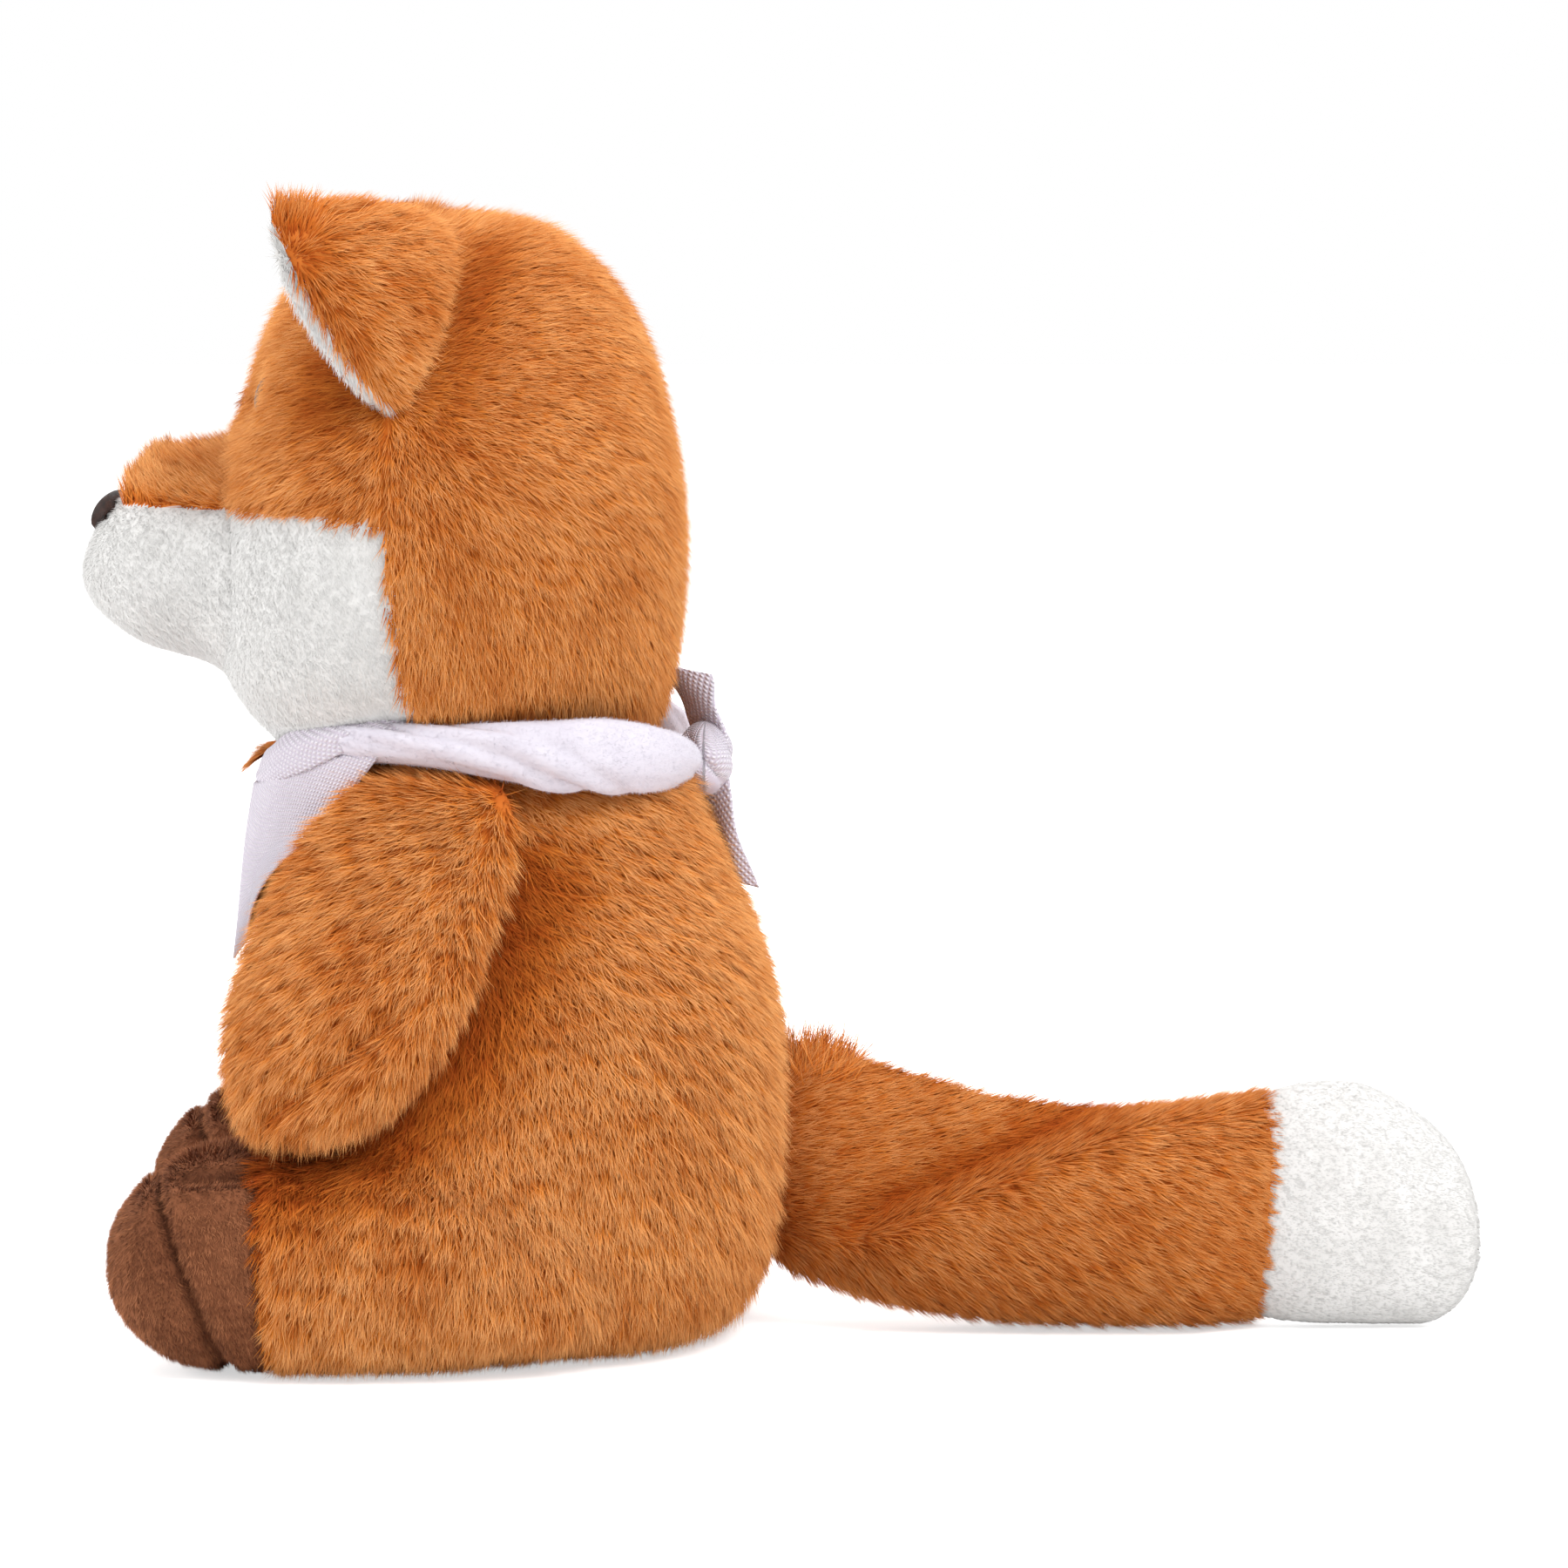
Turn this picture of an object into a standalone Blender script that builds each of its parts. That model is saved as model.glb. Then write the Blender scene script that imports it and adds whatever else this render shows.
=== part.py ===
"""Seated plush fox with a blank bandana: sewn panels, stuffing, eyes, nose and moving limbs.

Lengths are metres and +Z is up. The origin is the centre of the flat seat on the floor. The fox
faces -Y and its own left side is +X. Every skin is the fabric under the pile, so the fur itself
is outside these solids.
"""

import math

import bmesh
import bpy
import numpy as np
from mathutils import Matrix, Vector

# Overall sizes of the three big forms, skin to skin.
BODY_HEIGHT = 0.1012
BODY_FRONT = 0.0415
BODY_BACK = 0.0425
BODY_HALF_WIDTH = 0.048
HEAD_HEIGHT = 0.0853
HEAD_FRONT = 0.0345
HEAD_BACK = 0.0435
HEAD_SEAM_Y = -0.017
TAIL_LENGTH = 0.1105

# The head is as wide as the trunk, so that the neck rows keep meeting.
HEAD_WIDTH_SHARE = 1.0
HEAD_HALF_WIDTH = BODY_HALF_WIDTH * HEAD_WIDTH_SHARE

# Cloth and running gaps.
SKIN = 0.0012
FULL_CLOTH_RADIUS = 0.0042
SEAT_GAP = 0.0003
SEAM_GAP = 0.0003
NECK_GAP = 0.0006
FACE_GAP = 0.0005

# Muzzle and nose, measured from the head's lower edge and from the front of the face.
MUZZLE_LENGTH = 0.0215
MUZZLE_HALF_WIDTH = 0.0235
MUZZLE_RISE = 0.0122
MUZZLE_HEIGHT = 0.0335
NOSE_PAD = 0.0012

# Eyes: a domed button, its shank through the face and the washer that holds it.
EYE_RADIUS = 0.0046
EYE_DOME = 0.0030
EYE_OFFSET = 0.0175
EYE_RISE = 0.0562
SHANK_RADIUS = 0.0016
SHANK_LENGTH = 0.0070
SHANK_HOLE = 0.0021
WASHER_RADIUS = 0.0052
WASHER_THICK = 0.0012
WASHER_POCKET = 0.0061

# Ears, folding about the line where they are sewn to the head.
EAR_REACH_OUT = 0.0198
EAR_REACH_FORWARD = 0.0170
EAR_REACH_UP = 0.0198
EAR_BACK_THICK = 0.0016
EAR_LINING_THICK = 0.0012
EAR_CUP = 0.0042
EAR_ROOT_LIFT = 0.0012

# Arms, lifting about the seam along the shoulder.
ARM_DROP = 0.0127
ARM_LEG_GAP = 0.0028
ARM_THICK = 0.0155
ARM_MIDDLE_Y = -0.0195
ARM_HALF_DEPTH = 0.0205
ARM_CLEARANCE = 0.0012
SHOULDER_SINK = 0.0007

# Legs, swinging outward about the outer back corner of the hip.
HIP_Y = -0.0180
HIP_CLEARANCE = 0.0013
LEG_LENGTH = 0.0461
LEG_MIDDLE_X = 0.0360
LEG_HALF_WIDTH = 0.0190
LEG_TOP_Z = 0.0372
LEG_LIFT = 0.0009
SOLE_SLANT = 0.36

# Tail, swaying about an upright axis at its root, and its white tip.
TAIL_ROOT_RADIUS = 0.0085
TAIL_ROOT_GAP = 0.0005
TAIL_HALF_THICK = 0.0095
TAIL_LIFT = 0.0009
TAIL_HEIGHT = 0.0460
TIP_LENGTH = 0.0330

# Bandana: a band round the neck, its knot and two ends behind, and the flap on the chest.
BAND_STAND_OFF = 0.0046
BAND_SINK = 0.0034
BAND_DIP = 0.0042
BAND_HALF_HEIGHT = 0.0046
BAND_HALF_THICK = 0.0027
KNOT_HALF_WIDTH = 0.0068
KNOT_HALF_DEPTH = 0.0036
KNOT_HALF_HEIGHT = 0.0058
FLAP_HEIGHT = 0.0255
FLAP_THICK = 0.0010
FLAP_STAND_OFF = 0.0032
FLAP_WIDTH_SHARE = 0.604
FLAP_HALF_WIDTH = BODY_HALF_WIDTH * FLAP_WIDTH_SHARE
END_THICK = 0.0014
UPPER_END_LENGTH = 0.0095
UPPER_END_WIDTH = 0.0100
UPPER_END_TIP = 0.0062
UPPER_END_LEAN = -0.0030
LOWER_END_LENGTH = 0.0145
LOWER_END_WIDTH = 0.0085
LOWER_END_TIP = 0.0020
LOWER_END_LEAN = 0.0052

# How finely the forms are drawn.
BODY_AROUND = 28
HEAD_AROUND = 28
LIMB_AROUND = 16
BAND_AROUND = 40
BAND_SIDES = 10
TURNED_AROUND = 16
DOME_STEPS = 4
KNOT_AROUND = 16
KNOT_RISE = 8
MUZZLE_TOP_POINTS = 5
MUZZLE_SIDE_POINTS = 6
NOSE_ROWS = 6
NOSE_ACROSS = 9
EAR_ACROSS = 6
FLAP_ROWS = 7
FLAP_ACROSS = 10
SEARCH_STEPS = 24
SMOOTH_ANGLE = math.radians(40)

# Body rows from the seat to the neck: height, front, back and half width, as shares.
BODY_ROUND = 2.35
BODY_SHARES = (
    (0.000, 0.735, 0.700, 0.700),
    (0.018, 0.850, 0.800, 0.820),
    (0.065, 0.930, 0.885, 0.925),
    (0.160, 0.975, 0.970, 0.985),
    (0.330, 1.000, 1.000, 1.000),
    (0.520, 1.010, 0.970, 0.955),
    (0.700, 0.995, 0.860, 0.855),
    (0.840, 0.960, 0.740, 0.760),
    (0.930, 0.930, 0.650, 0.690),
    (1.000, 0.880, 0.500, 0.650),
)

# Head rows from the neck to the crown: height, front, back and half width, as shares.
HEAD_ROUND = 2.30
HEAD_SHARES = (
    (0.000, 0.812, 0.897, 0.698),
    (0.070, 0.955, 0.940, 0.815),
    (0.170, 1.000, 0.975, 0.915),
    (0.400, 0.985, 1.000, 1.000),
    (0.530, 0.910, 0.975, 0.990),
    (0.660, 0.815, 0.930, 0.940),
    (0.785, 0.715, 0.845, 0.835),
    (0.875, 0.600, 0.715, 0.690),
    (0.940, 0.430, 0.530, 0.500),
    (0.985, 0.190, 0.270, 0.240),
    (1.000, 0.050, 0.060, 0.050),
)
CHEEK_ROW_COUNT = 3

# Muzzle rows from the face to the front: reach, top, chin and half width, as shares.
MUZZLE_SHARES = (
    (0.000, 1.000, 1.000, 1.000),
    (0.350, 0.960, 0.940, 0.900),
    (0.620, 0.820, 0.800, 0.780),
    (0.840, 0.560, 0.600, 0.580),
    (0.960, 0.300, 0.320, 0.320),
    (1.000, 0.070, 0.070, 0.070),
)
MUZZLE_ROUND = 2.2
MUZZLE_BAR_SHARE = 0.52
DISH_SHARES = (0.06, 0.36, 0.70)
BRIDGE_SPREAD = math.radians(52)
NOSE_SPREAD = math.radians(34)
NOSE_START_SHARE = 0.70
NOSE_STOP_SHARE = 0.94

# Ear rows from the base to the tip: height share and half width share.
EAR_SHARES = (
    (0.00, 1.00),
    (0.18, 0.97),
    (0.40, 0.83),
    (0.62, 0.60),
    (0.82, 0.36),
    (0.95, 0.18),
    (1.00, 0.05),
)
EAR_TOP_SHARE = 0.930
EAR_LOW_SHARE = 0.640
EAR_ROOT_CUP_SHARE = 0.25

# Roundness of the arms' and the tail's sections, and how far the arms wrap round the trunk.
LIMB_ROUND = 2.1
ARM_WRAP_SHARE = 0.33

# Arm rows from the shoulder down: drop, middle in y, half depth and thickness, as shares.
ARM_SHARES = (
    (0.000, 0.500, 0.360, 0.270),
    (0.070, 0.580, 0.630, 0.400),
    (0.200, 0.780, 0.840, 0.660),
    (0.360, 1.000, 0.960, 0.900),
    (0.520, 1.190, 1.000, 1.000),
    (0.680, 1.370, 0.930, 0.970),
    (0.820, 1.540, 0.760, 0.860),
    (0.930, 1.660, 0.540, 0.690),
    (1.000, 1.720, 0.290, 0.460),
)

# Leg rows from hip to toe: reach, top, bottom, half width and slant, as shares.
LEG_ROUND = 2.5
LEG_SHARES = (
    (0.000, 1.000, 1.000, 0.985, 0.00),
    (0.240, 0.995, 1.000, 1.000, 0.00),
    (0.470, 0.960, 1.000, 1.000, 0.00),
    (0.640, 0.900, 0.960, 0.960, 0.60),
    (0.780, 0.790, 0.830, 0.850, 1.00),
    (0.905, 0.590, 0.620, 0.640, 0.60),
    (0.975, 0.330, 0.350, 0.360, 0.30),
    (1.000, 0.100, 0.100, 0.100, 0.10),
)
HIP_ROW_COUNT = 2
INSTEP_ROW_COUNT = 2

# Tail rows from root to white seam: reach, middle height, half height and half thickness.
TAIL_SHARES = (
    (0.000, 0.640, 0.415, 0.895),
    (0.240, 0.560, 0.420, 0.900),
    (0.520, 0.470, 0.432, 0.930),
    (0.780, 0.445, 0.430, 1.000),
    (1.000, 0.455, 0.440, 0.960),
)
TIP_SHARES = (
    (0.000, 0.455, 0.440, 0.960),
    (0.250, 0.455, 0.440, 0.950),
    (0.500, 0.440, 0.415, 0.900),
    (0.740, 0.390, 0.350, 0.740),
    (0.900, 0.330, 0.240, 0.500),
    (1.000, 0.300, 0.050, 0.130),
)

# Bandana: rows of its loose ends, places across them, and how fast the flap narrows.
END_SHARES = (0.00, 0.35, 0.70, 1.00)
END_ACROSS_SHARES = (-1.0, -0.4, 0.4, 1.0)
FLAP_TAPER = 0.9

# Each surface's colour and roughness.
FINISHES = {
    "orange_plush": ((0.600, 0.230, 0.052), 0.95),
    "white_plush": ((0.830, 0.820, 0.800), 0.95),
    "brown_plush": ((0.150, 0.070, 0.035), 0.95),
    "fibre_fill": ((0.850, 0.850, 0.840), 1.0),
    "nose_thread": ((0.030, 0.014, 0.010), 0.7),
    "bandana_knit": ((0.800, 0.780, 0.830), 0.9),
    "eye_plastic": ((0.010, 0.008, 0.008), 0.15),
    "washer_plastic": ((0.700, 0.700, 0.690), 0.5),
}


def clear_scene():
    """Remove whatever the scene starts with."""
    for item in list(bpy.data.objects):
        bpy.data.objects.remove(item, do_unlink=True)


def material(name):
    """One plain surface, with its colour and roughness from the list of finishes."""
    colour, roughness = FINISHES[name]
    made = bpy.data.materials.new(name)
    made.use_nodes = True
    shader = made.node_tree.nodes["Principled BSDF"]
    shader.inputs["Base Color"].default_value = (*colour, 1.0)
    shader.inputs["Roughness"].default_value = roughness
    return made


def make_object(name, points, faces, surface):
    """Turn points and faces into an object with outward faces and smooth shading."""
    mesh = bpy.data.meshes.new(name)
    mesh.from_pydata([tuple(point) for point in points], [], faces)
    build = bmesh.new()
    build.from_mesh(mesh)
    bmesh.ops.recalc_face_normals(build, faces=build.faces)
    build.to_mesh(mesh)
    build.free()
    mesh.materials.append(surface)
    mesh.shade_smooth()
    mesh.set_sharp_from_angle(angle=SMOOTH_ANGLE)
    made = bpy.data.objects.new(name, mesh)
    bpy.context.collection.objects.link(made)
    return made


def rounded(angle, power):
    """Point of a superellipse of half sizes one at an angle from its first axis."""
    first = math.copysign(abs(math.cos(angle)) ** (2 / power), math.cos(angle))
    second = math.copysign(abs(math.sin(angle)) ** (2 / power), math.sin(angle))
    return first, second


def even_angles(count):
    """Equal steps once round, from the first axis."""
    return [2 * math.pi * index / count for index in range(count)]


def upright_form(table, height, front, back, half_width, base, middle_y, power, around):
    """Rows of a form sliced level: each row runs from the front, round by +X to the back."""
    rows = []
    for z_share, front_share, back_share, width_share in table:
        row = []
        for angle in even_angles(around):
            along, across = rounded(angle, power)
            depth = front * front_share if along > 0 else back * back_share
            row.append((across * half_width * width_share, middle_y - along * depth,
                        base + height * z_share))
        rows.append(row)
    return np.array(rows)


def normals_of(grid):
    """Outward unit normals of a closed ring of rows that runs up the form."""
    around = np.roll(grid, -1, axis=1) - np.roll(grid, 1, axis=1)
    along = np.gradient(grid, axis=0)
    normal = np.cross(around, along)
    normal /= np.linalg.norm(normal, axis=2, keepdims=True)
    outward = grid - grid.mean(axis=1, keepdims=True)
    return normal * np.sign(np.sum(normal * outward))


def inside(grid, depth):
    """The same rows moved in along their normals, and by less where the form is slim."""
    reach = np.linalg.norm(grid - grid.mean(axis=1, keepdims=True), axis=2)
    room = np.minimum(reach.min(axis=1) / FULL_CLOTH_RADIUS, 1.0)
    return grid - depth * room[:, None, None] * normals_of(grid)


def pull_in_edges(grid, gap):
    """Draw the four edges of an open grid in by half a seam gap."""
    made = grid.copy()
    for edge, neighbour in ((0, 1), (-1, -2)):
        step = grid[:, neighbour] - grid[:, edge]
        made[:, edge] += gap / 2 * step / np.linalg.norm(step, axis=1, keepdims=True)
    again = made.copy()
    for edge, neighbour in ((0, 1), (-1, -2)):
        step = made[neighbour] - made[edge]
        again[edge] += gap / 2 * step / np.linalg.norm(step, axis=1, keepdims=True)
    return again


def panel(name, outer, inner, surface):
    """A sewn panel: an open grid of cloth, thick between its outer and inner rows."""
    outer = pull_in_edges(outer, SEAM_GAP)
    inner = pull_in_edges(inner, SEAM_GAP)
    rows, columns = outer.shape[:2]
    size = rows * columns
    points = np.vstack([outer.reshape(-1, 3), inner.reshape(-1, 3)])
    faces = []
    for row in range(rows - 1):
        for column in range(columns - 1):
            here = row * columns + column
            quad = (here, here + 1, here + columns + 1, here + columns)
            faces.append(quad)
            faces.append(tuple(corner + size for corner in reversed(quad)))
    rim = list(range(columns))
    rim += [row * columns + columns - 1 for row in range(1, rows)]
    rim += [(rows - 1) * columns + column for column in range(columns - 2, -1, -1)]
    rim += [row * columns for row in range(rows - 2, 0, -1)]
    for here, after in zip(rim, rim[1:] + rim[:1]):
        faces.append((after, here, here + size, after + size))
    return make_object(name, points, faces, surface)


def columns_between(grid, first, last):
    """The columns from one to another of a closed ring of rows, passing the start if need be."""
    picks = [column % grid.shape[1] for column in range(first, last + 1)]
    return grid[:, picks]


def ring_solid(name, grid, surface):
    """A closed solid from rows that go all the way round, capped flat at both ends."""
    rows, columns = grid.shape[:2]
    points = grid.reshape(-1, 3)
    faces = []
    for row in range(rows - 1):
        for column in range(columns):
            after = (column + 1) % columns
            faces.append((row * columns + column, row * columns + after,
                          (row + 1) * columns + after, (row + 1) * columns + column))
    faces.append(tuple(range(columns))[::-1])
    faces.append(tuple((rows - 1) * columns + column for column in range(columns)))
    return make_object(name, points, faces, surface)


def mirrored(grid):
    """The same rows on the fox's right side."""
    return grid * np.array([-1.0, 1.0, 1.0])


def cutter_box(name, low, high):
    """A hidden box that only cuts other pieces."""
    build = bmesh.new()
    bmesh.ops.create_cube(build, size=1.0)
    middle = (Vector(low) + Vector(high)) / 2
    extent = Vector(high) - Vector(low)
    bmesh.ops.transform(build, matrix=Matrix.Translation(middle) @ Matrix.Diagonal((*extent, 1.0)),
                        verts=build.verts)
    return hide_cutter(name, build)


def cutter_rod(name, start, direction, radius, length):
    """A hidden round bar that only cuts other pieces."""
    build = bmesh.new()
    turn = direction.to_track_quat("Z", "Y").to_matrix().to_4x4()
    place = Matrix.Translation(start + direction * length / 2) @ turn
    bmesh.ops.create_cone(build, cap_ends=True, segments=TURNED_AROUND, radius1=radius,
                          radius2=radius, depth=length, matrix=place)
    return hide_cutter(name, build)


def hide_cutter(name, build):
    """Store a cutter so that it never shows or counts as a piece."""
    mesh = bpy.data.meshes.new(name)
    build.to_mesh(mesh)
    build.free()
    made = bpy.data.objects.new(name, mesh)
    bpy.context.collection.objects.link(made)
    made.hide_render = True
    made.display_type = "WIRE"
    return made


def cut(target, cutter):
    """Take a cutter out of a piece."""
    change = target.modifiers.new("Cut " + cutter.name, "BOOLEAN")
    change.operation = "DIFFERENCE"
    change.solver = "EXACT"
    change.object = cutter


def hang(children, name, place):
    """Parent pieces to an empty on their joint's axis, leaving them where they are."""
    pivot = bpy.data.objects.new(name, None)
    pivot.location = place
    pivot.empty_display_size = BODY_HALF_WIDTH / 4
    bpy.context.collection.objects.link(pivot)
    for child in children:
        child.parent = pivot
        child.matrix_parent_inverse = Matrix.Translation(-Vector(place))
    return pivot


def body_grid():
    """Skin of the trunk from the seat to the neck."""
    return upright_form(BODY_SHARES, BODY_HEIGHT, BODY_FRONT, BODY_BACK, BODY_HALF_WIDTH, 0.0, 0.0,
                        BODY_ROUND, BODY_AROUND)


def body_half_width_at(y, z):
    """How far out the trunk's skin is at one depth and height."""
    table = np.array(BODY_SHARES)
    level = z / BODY_HEIGHT
    front, back, wide = (np.interp(level, table[:, 0], table[:, column]) for column in (1, 2, 3))
    depth = BODY_FRONT * front if y < 0 else BODY_BACK * back
    share = min(abs(y) / depth, 1.0)
    return BODY_HALF_WIDTH * wide * (1.0 - share ** BODY_ROUND) ** (1.0 / BODY_ROUND)


def leg_pockets():
    """Room for the two legs, cut out of the trunk's lower front."""
    pockets = []
    reach = BODY_FRONT + BODY_BACK
    for side, sign in (("left", 1), ("right", -1)):
        inner = sign * (LEG_MIDDLE_X - LEG_HALF_WIDTH - HIP_CLEARANCE)
        outer = sign * reach
        low = (min(inner, outer), -reach, -reach)
        high = (max(inner, outer), HIP_Y, LEG_TOP_Z + HIP_CLEARANCE)
        pockets.append(cutter_box(side + "_leg_pocket", low, high))
    return pockets


def seat_panel(grid, surface):
    """Flat oval of cloth under the trunk, on which the toy sits."""
    ring = grid[0] * np.array([1.0, 1.0, 0.0])
    drawn = ring * (1.0 - SEAM_GAP / BODY_HALF_WIDTH)
    top = drawn + np.array([0.0, 0.0, SKIN])
    return ring_solid("seat_panel", np.array([drawn, top]), surface)


def make_body(orange, padding):
    """Trunk: seat, front and two side panels round their stuffing, with room for the legs."""
    full = body_grid()
    seat = seat_panel(full, orange)
    lifted = full.copy()
    lifted[0, :, 2] += SKIN + SEAM_GAP
    lifted[1, :, 2] = np.maximum(lifted[1, :, 2], lifted[0, :, 2] + SEAM_GAP)
    inner = inside(lifted, SKIN)
    inner[0, :, 2] = lifted[0, :, 2]
    inner[-1, :, 2] = lifted[-1, :, 2]
    core = inside(lifted, SKIN + SEAT_GAP)
    core[0, :, 2] = lifted[0, :, 2]
    core[-1, :, 2] = lifted[-1, :, 2]
    quarter = BODY_AROUND // 4
    front = panel("body_front", columns_between(lifted, -quarter, quarter),
                  columns_between(inner, -quarter, quarter), orange)
    left = panel("body_side_left", columns_between(lifted, quarter, 2 * quarter),
                 columns_between(inner, quarter, 2 * quarter), orange)
    right = panel("body_side_right", columns_between(lifted, 2 * quarter, 3 * quarter),
                  columns_between(inner, 2 * quarter, 3 * quarter), orange)
    stuffing = ring_solid("body_stuffing", core, padding)
    for pocket in leg_pockets():
        for piece in (seat, front, stuffing):
            cut(piece, pocket)
    return [seat, front, left, right, stuffing]


def head_base():
    """Height of the head's lower edge."""
    return BODY_HEIGHT + NECK_GAP


def neck_y():
    """Middle of the head's lower edge, about which the head turns."""
    front_share, back_share = HEAD_SHARES[0][1:3]
    return HEAD_SEAM_Y + (HEAD_BACK * back_share - HEAD_FRONT * front_share) / 2


def head_grid():
    """Skin of the head from the neck to the crown."""
    return upright_form(HEAD_SHARES, HEAD_HEIGHT, HEAD_FRONT, HEAD_BACK, HEAD_HALF_WIDTH, head_base(),
                        HEAD_SEAM_Y, HEAD_ROUND, HEAD_AROUND)


def head_front_at(x, z):
    """Where the front of the head's skin is, for a place seen from the front."""
    table = np.array(HEAD_SHARES)
    level = (z - head_base()) / HEAD_HEIGHT
    front, wide = (np.interp(level, table[:, 0], table[:, column]) for column in (1, 3))
    share = min(abs(x) / (HEAD_HALF_WIDTH * wide), 1.0)
    return HEAD_SEAM_Y - HEAD_FRONT * front * (1.0 - share ** HEAD_ROUND) ** (1.0 / HEAD_ROUND)


def head_normal_at(x, z):
    """Outward direction of the front of the head."""
    step = SKIN
    slope_x = (head_front_at(x + step, z) - head_front_at(x - step, z)) / (2 * step)
    slope_z = (head_front_at(x, z + step) - head_front_at(x, z - step)) / (2 * step)
    return Vector((slope_x, -1.0, slope_z)).normalized()


def make_head(orange, white, padding):
    """Head: two backs, two orange faces and two white cheeks round their stuffing."""
    full = head_grid()
    inner = inside(full, SKIN)
    core = inside(full, SKIN + SEAT_GAP)
    for layer in (inner, core):
        layer[0, :, 2] = full[0, :, 2]
    quarter = HEAD_AROUND // 4
    pieces = []
    rows = len(full)
    parts = (("head_back_left", quarter, 2 * quarter, 0, rows, orange),
             ("head_back_right", 2 * quarter, 3 * quarter, 0, rows, orange),
             ("face_left", 0, quarter, CHEEK_ROW_COUNT, rows, orange),
             ("face_right", -quarter, 0, CHEEK_ROW_COUNT, rows, orange),
             ("cheek_left", 0, quarter, 0, CHEEK_ROW_COUNT + 1, white),
             ("cheek_right", -quarter, 0, 0, CHEEK_ROW_COUNT + 1, white))
    for name, first, last, low, high, surface in parts:
        outer_part = columns_between(full, first, last)[low:high]
        inner_part = columns_between(inner, first, last)[low:high]
        pieces.append(panel(name, outer_part, inner_part, surface))
    pieces.append(ring_solid("head_stuffing", core, padding))
    return pieces


def muzzle_point(reach, angle, table):
    """Skin of the muzzle at a reach from the face, at an angle from the top round by +X."""
    top, chin, wide = (np.interp(reach, table[:, 0], table[:, column]) for column in (1, 2, 3))
    bar = muzzle_bar()
    up, across = rounded(angle, MUZZLE_ROUND)
    above = MUZZLE_HEIGHT * (1.0 - MUZZLE_BAR_SHARE) * top
    below = MUZZLE_HEIGHT * MUZZLE_BAR_SHARE * chin
    tall = above if up > 0 else below
    x = across * MUZZLE_HALF_WIDTH * wide
    z = bar + up * tall
    root = HEAD_SEAM_Y - HEAD_FRONT
    y = root - MUZZLE_LENGTH * reach
    return x, min(y, head_front_at(x, z) - FACE_GAP), z


def muzzle_bar():
    """Height of the muzzle's middle line."""
    return head_base() + MUZZLE_RISE + MUZZLE_HEIGHT * MUZZLE_BAR_SHARE


def shrink_on_bar(point, share):
    """Bring a point of the muzzle's root nearer its middle line."""
    return point[0] * share, point[1], muzzle_bar() + (point[2] - muzzle_bar()) * share


def seat_on_face(rows, exactly=False):
    """Keep points of the muzzle just in front of the face, or lay them there exactly."""
    for row in rows:
        for point in row:
            seat = head_front_at(point[0], point[2]) - FACE_GAP
            point[1] = seat if exactly else min(point[1], seat)


def muzzle_angles():
    """Angles round the muzzle with its three seams among them."""
    top = list(np.linspace(-BRIDGE_SPREAD, BRIDGE_SPREAD, MUZZLE_TOP_POINTS))
    left = list(np.linspace(BRIDGE_SPREAD, math.pi, MUZZLE_SIDE_POINTS))
    right = list(np.linspace(math.pi, 2 * math.pi - BRIDGE_SPREAD, MUZZLE_SIDE_POINTS))
    return top, left, right


def make_muzzle(orange, white, padding, dark):
    """Muzzle: an orange bridge over two white sides, its stuffing and the sewn nose."""
    table = np.array(MUZZLE_SHARES)
    top, left, right = muzzle_angles()
    loop = top + left[1:] + right[1:-1]
    reaches = table[:, 0]
    full = np.array([[muzzle_point(reach, angle, table) for angle in loop] for reach in reaches])
    inner = inside(full, SKIN)
    core = inside(full, SKIN + SEAT_GAP)
    for rows in (inner, core):
        seat_on_face(rows[:2])
    dish = np.array([[shrink_on_bar(point, share) for point in core[0]] for share in DISH_SHARES])
    seat_on_face(dish, exactly=True)
    core = np.vstack([dish, core])
    first = len(top) - 1
    second = first + len(left) - 1
    parts = (("muzzle_bridge", 0, first, orange),
             ("muzzle_left", first, second, white),
             ("muzzle_right", second, len(loop), white))
    pieces = []
    for name, start, stop, surface in parts:
        pieces.append(panel(name, columns_between(full, start, stop),
                            columns_between(inner, start, stop), surface))
    pieces.append(ring_solid("muzzle_stuffing", core, padding))
    pieces.append(make_nose(table, dark))
    return pieces


def make_nose(table, dark):
    """Sewn nose: a thin pad of thread that follows the top front of the muzzle."""
    angles = np.linspace(-NOSE_SPREAD, NOSE_SPREAD, NOSE_ACROSS)
    reaches = np.linspace(NOSE_START_SHARE, NOSE_STOP_SHARE, NOSE_ROWS)
    skin = np.array([[muzzle_point(reach, angle, table) for angle in angles] for reach in reaches])
    along = np.gradient(skin, axis=0)
    across = np.gradient(skin, axis=1)
    normal = np.cross(along, across)
    normal /= np.linalg.norm(normal, axis=2, keepdims=True)
    low = skin + normal * SEAT_GAP
    high = skin + normal * (SEAT_GAP + NOSE_PAD)
    return panel("nose", high, low, dark)


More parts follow.
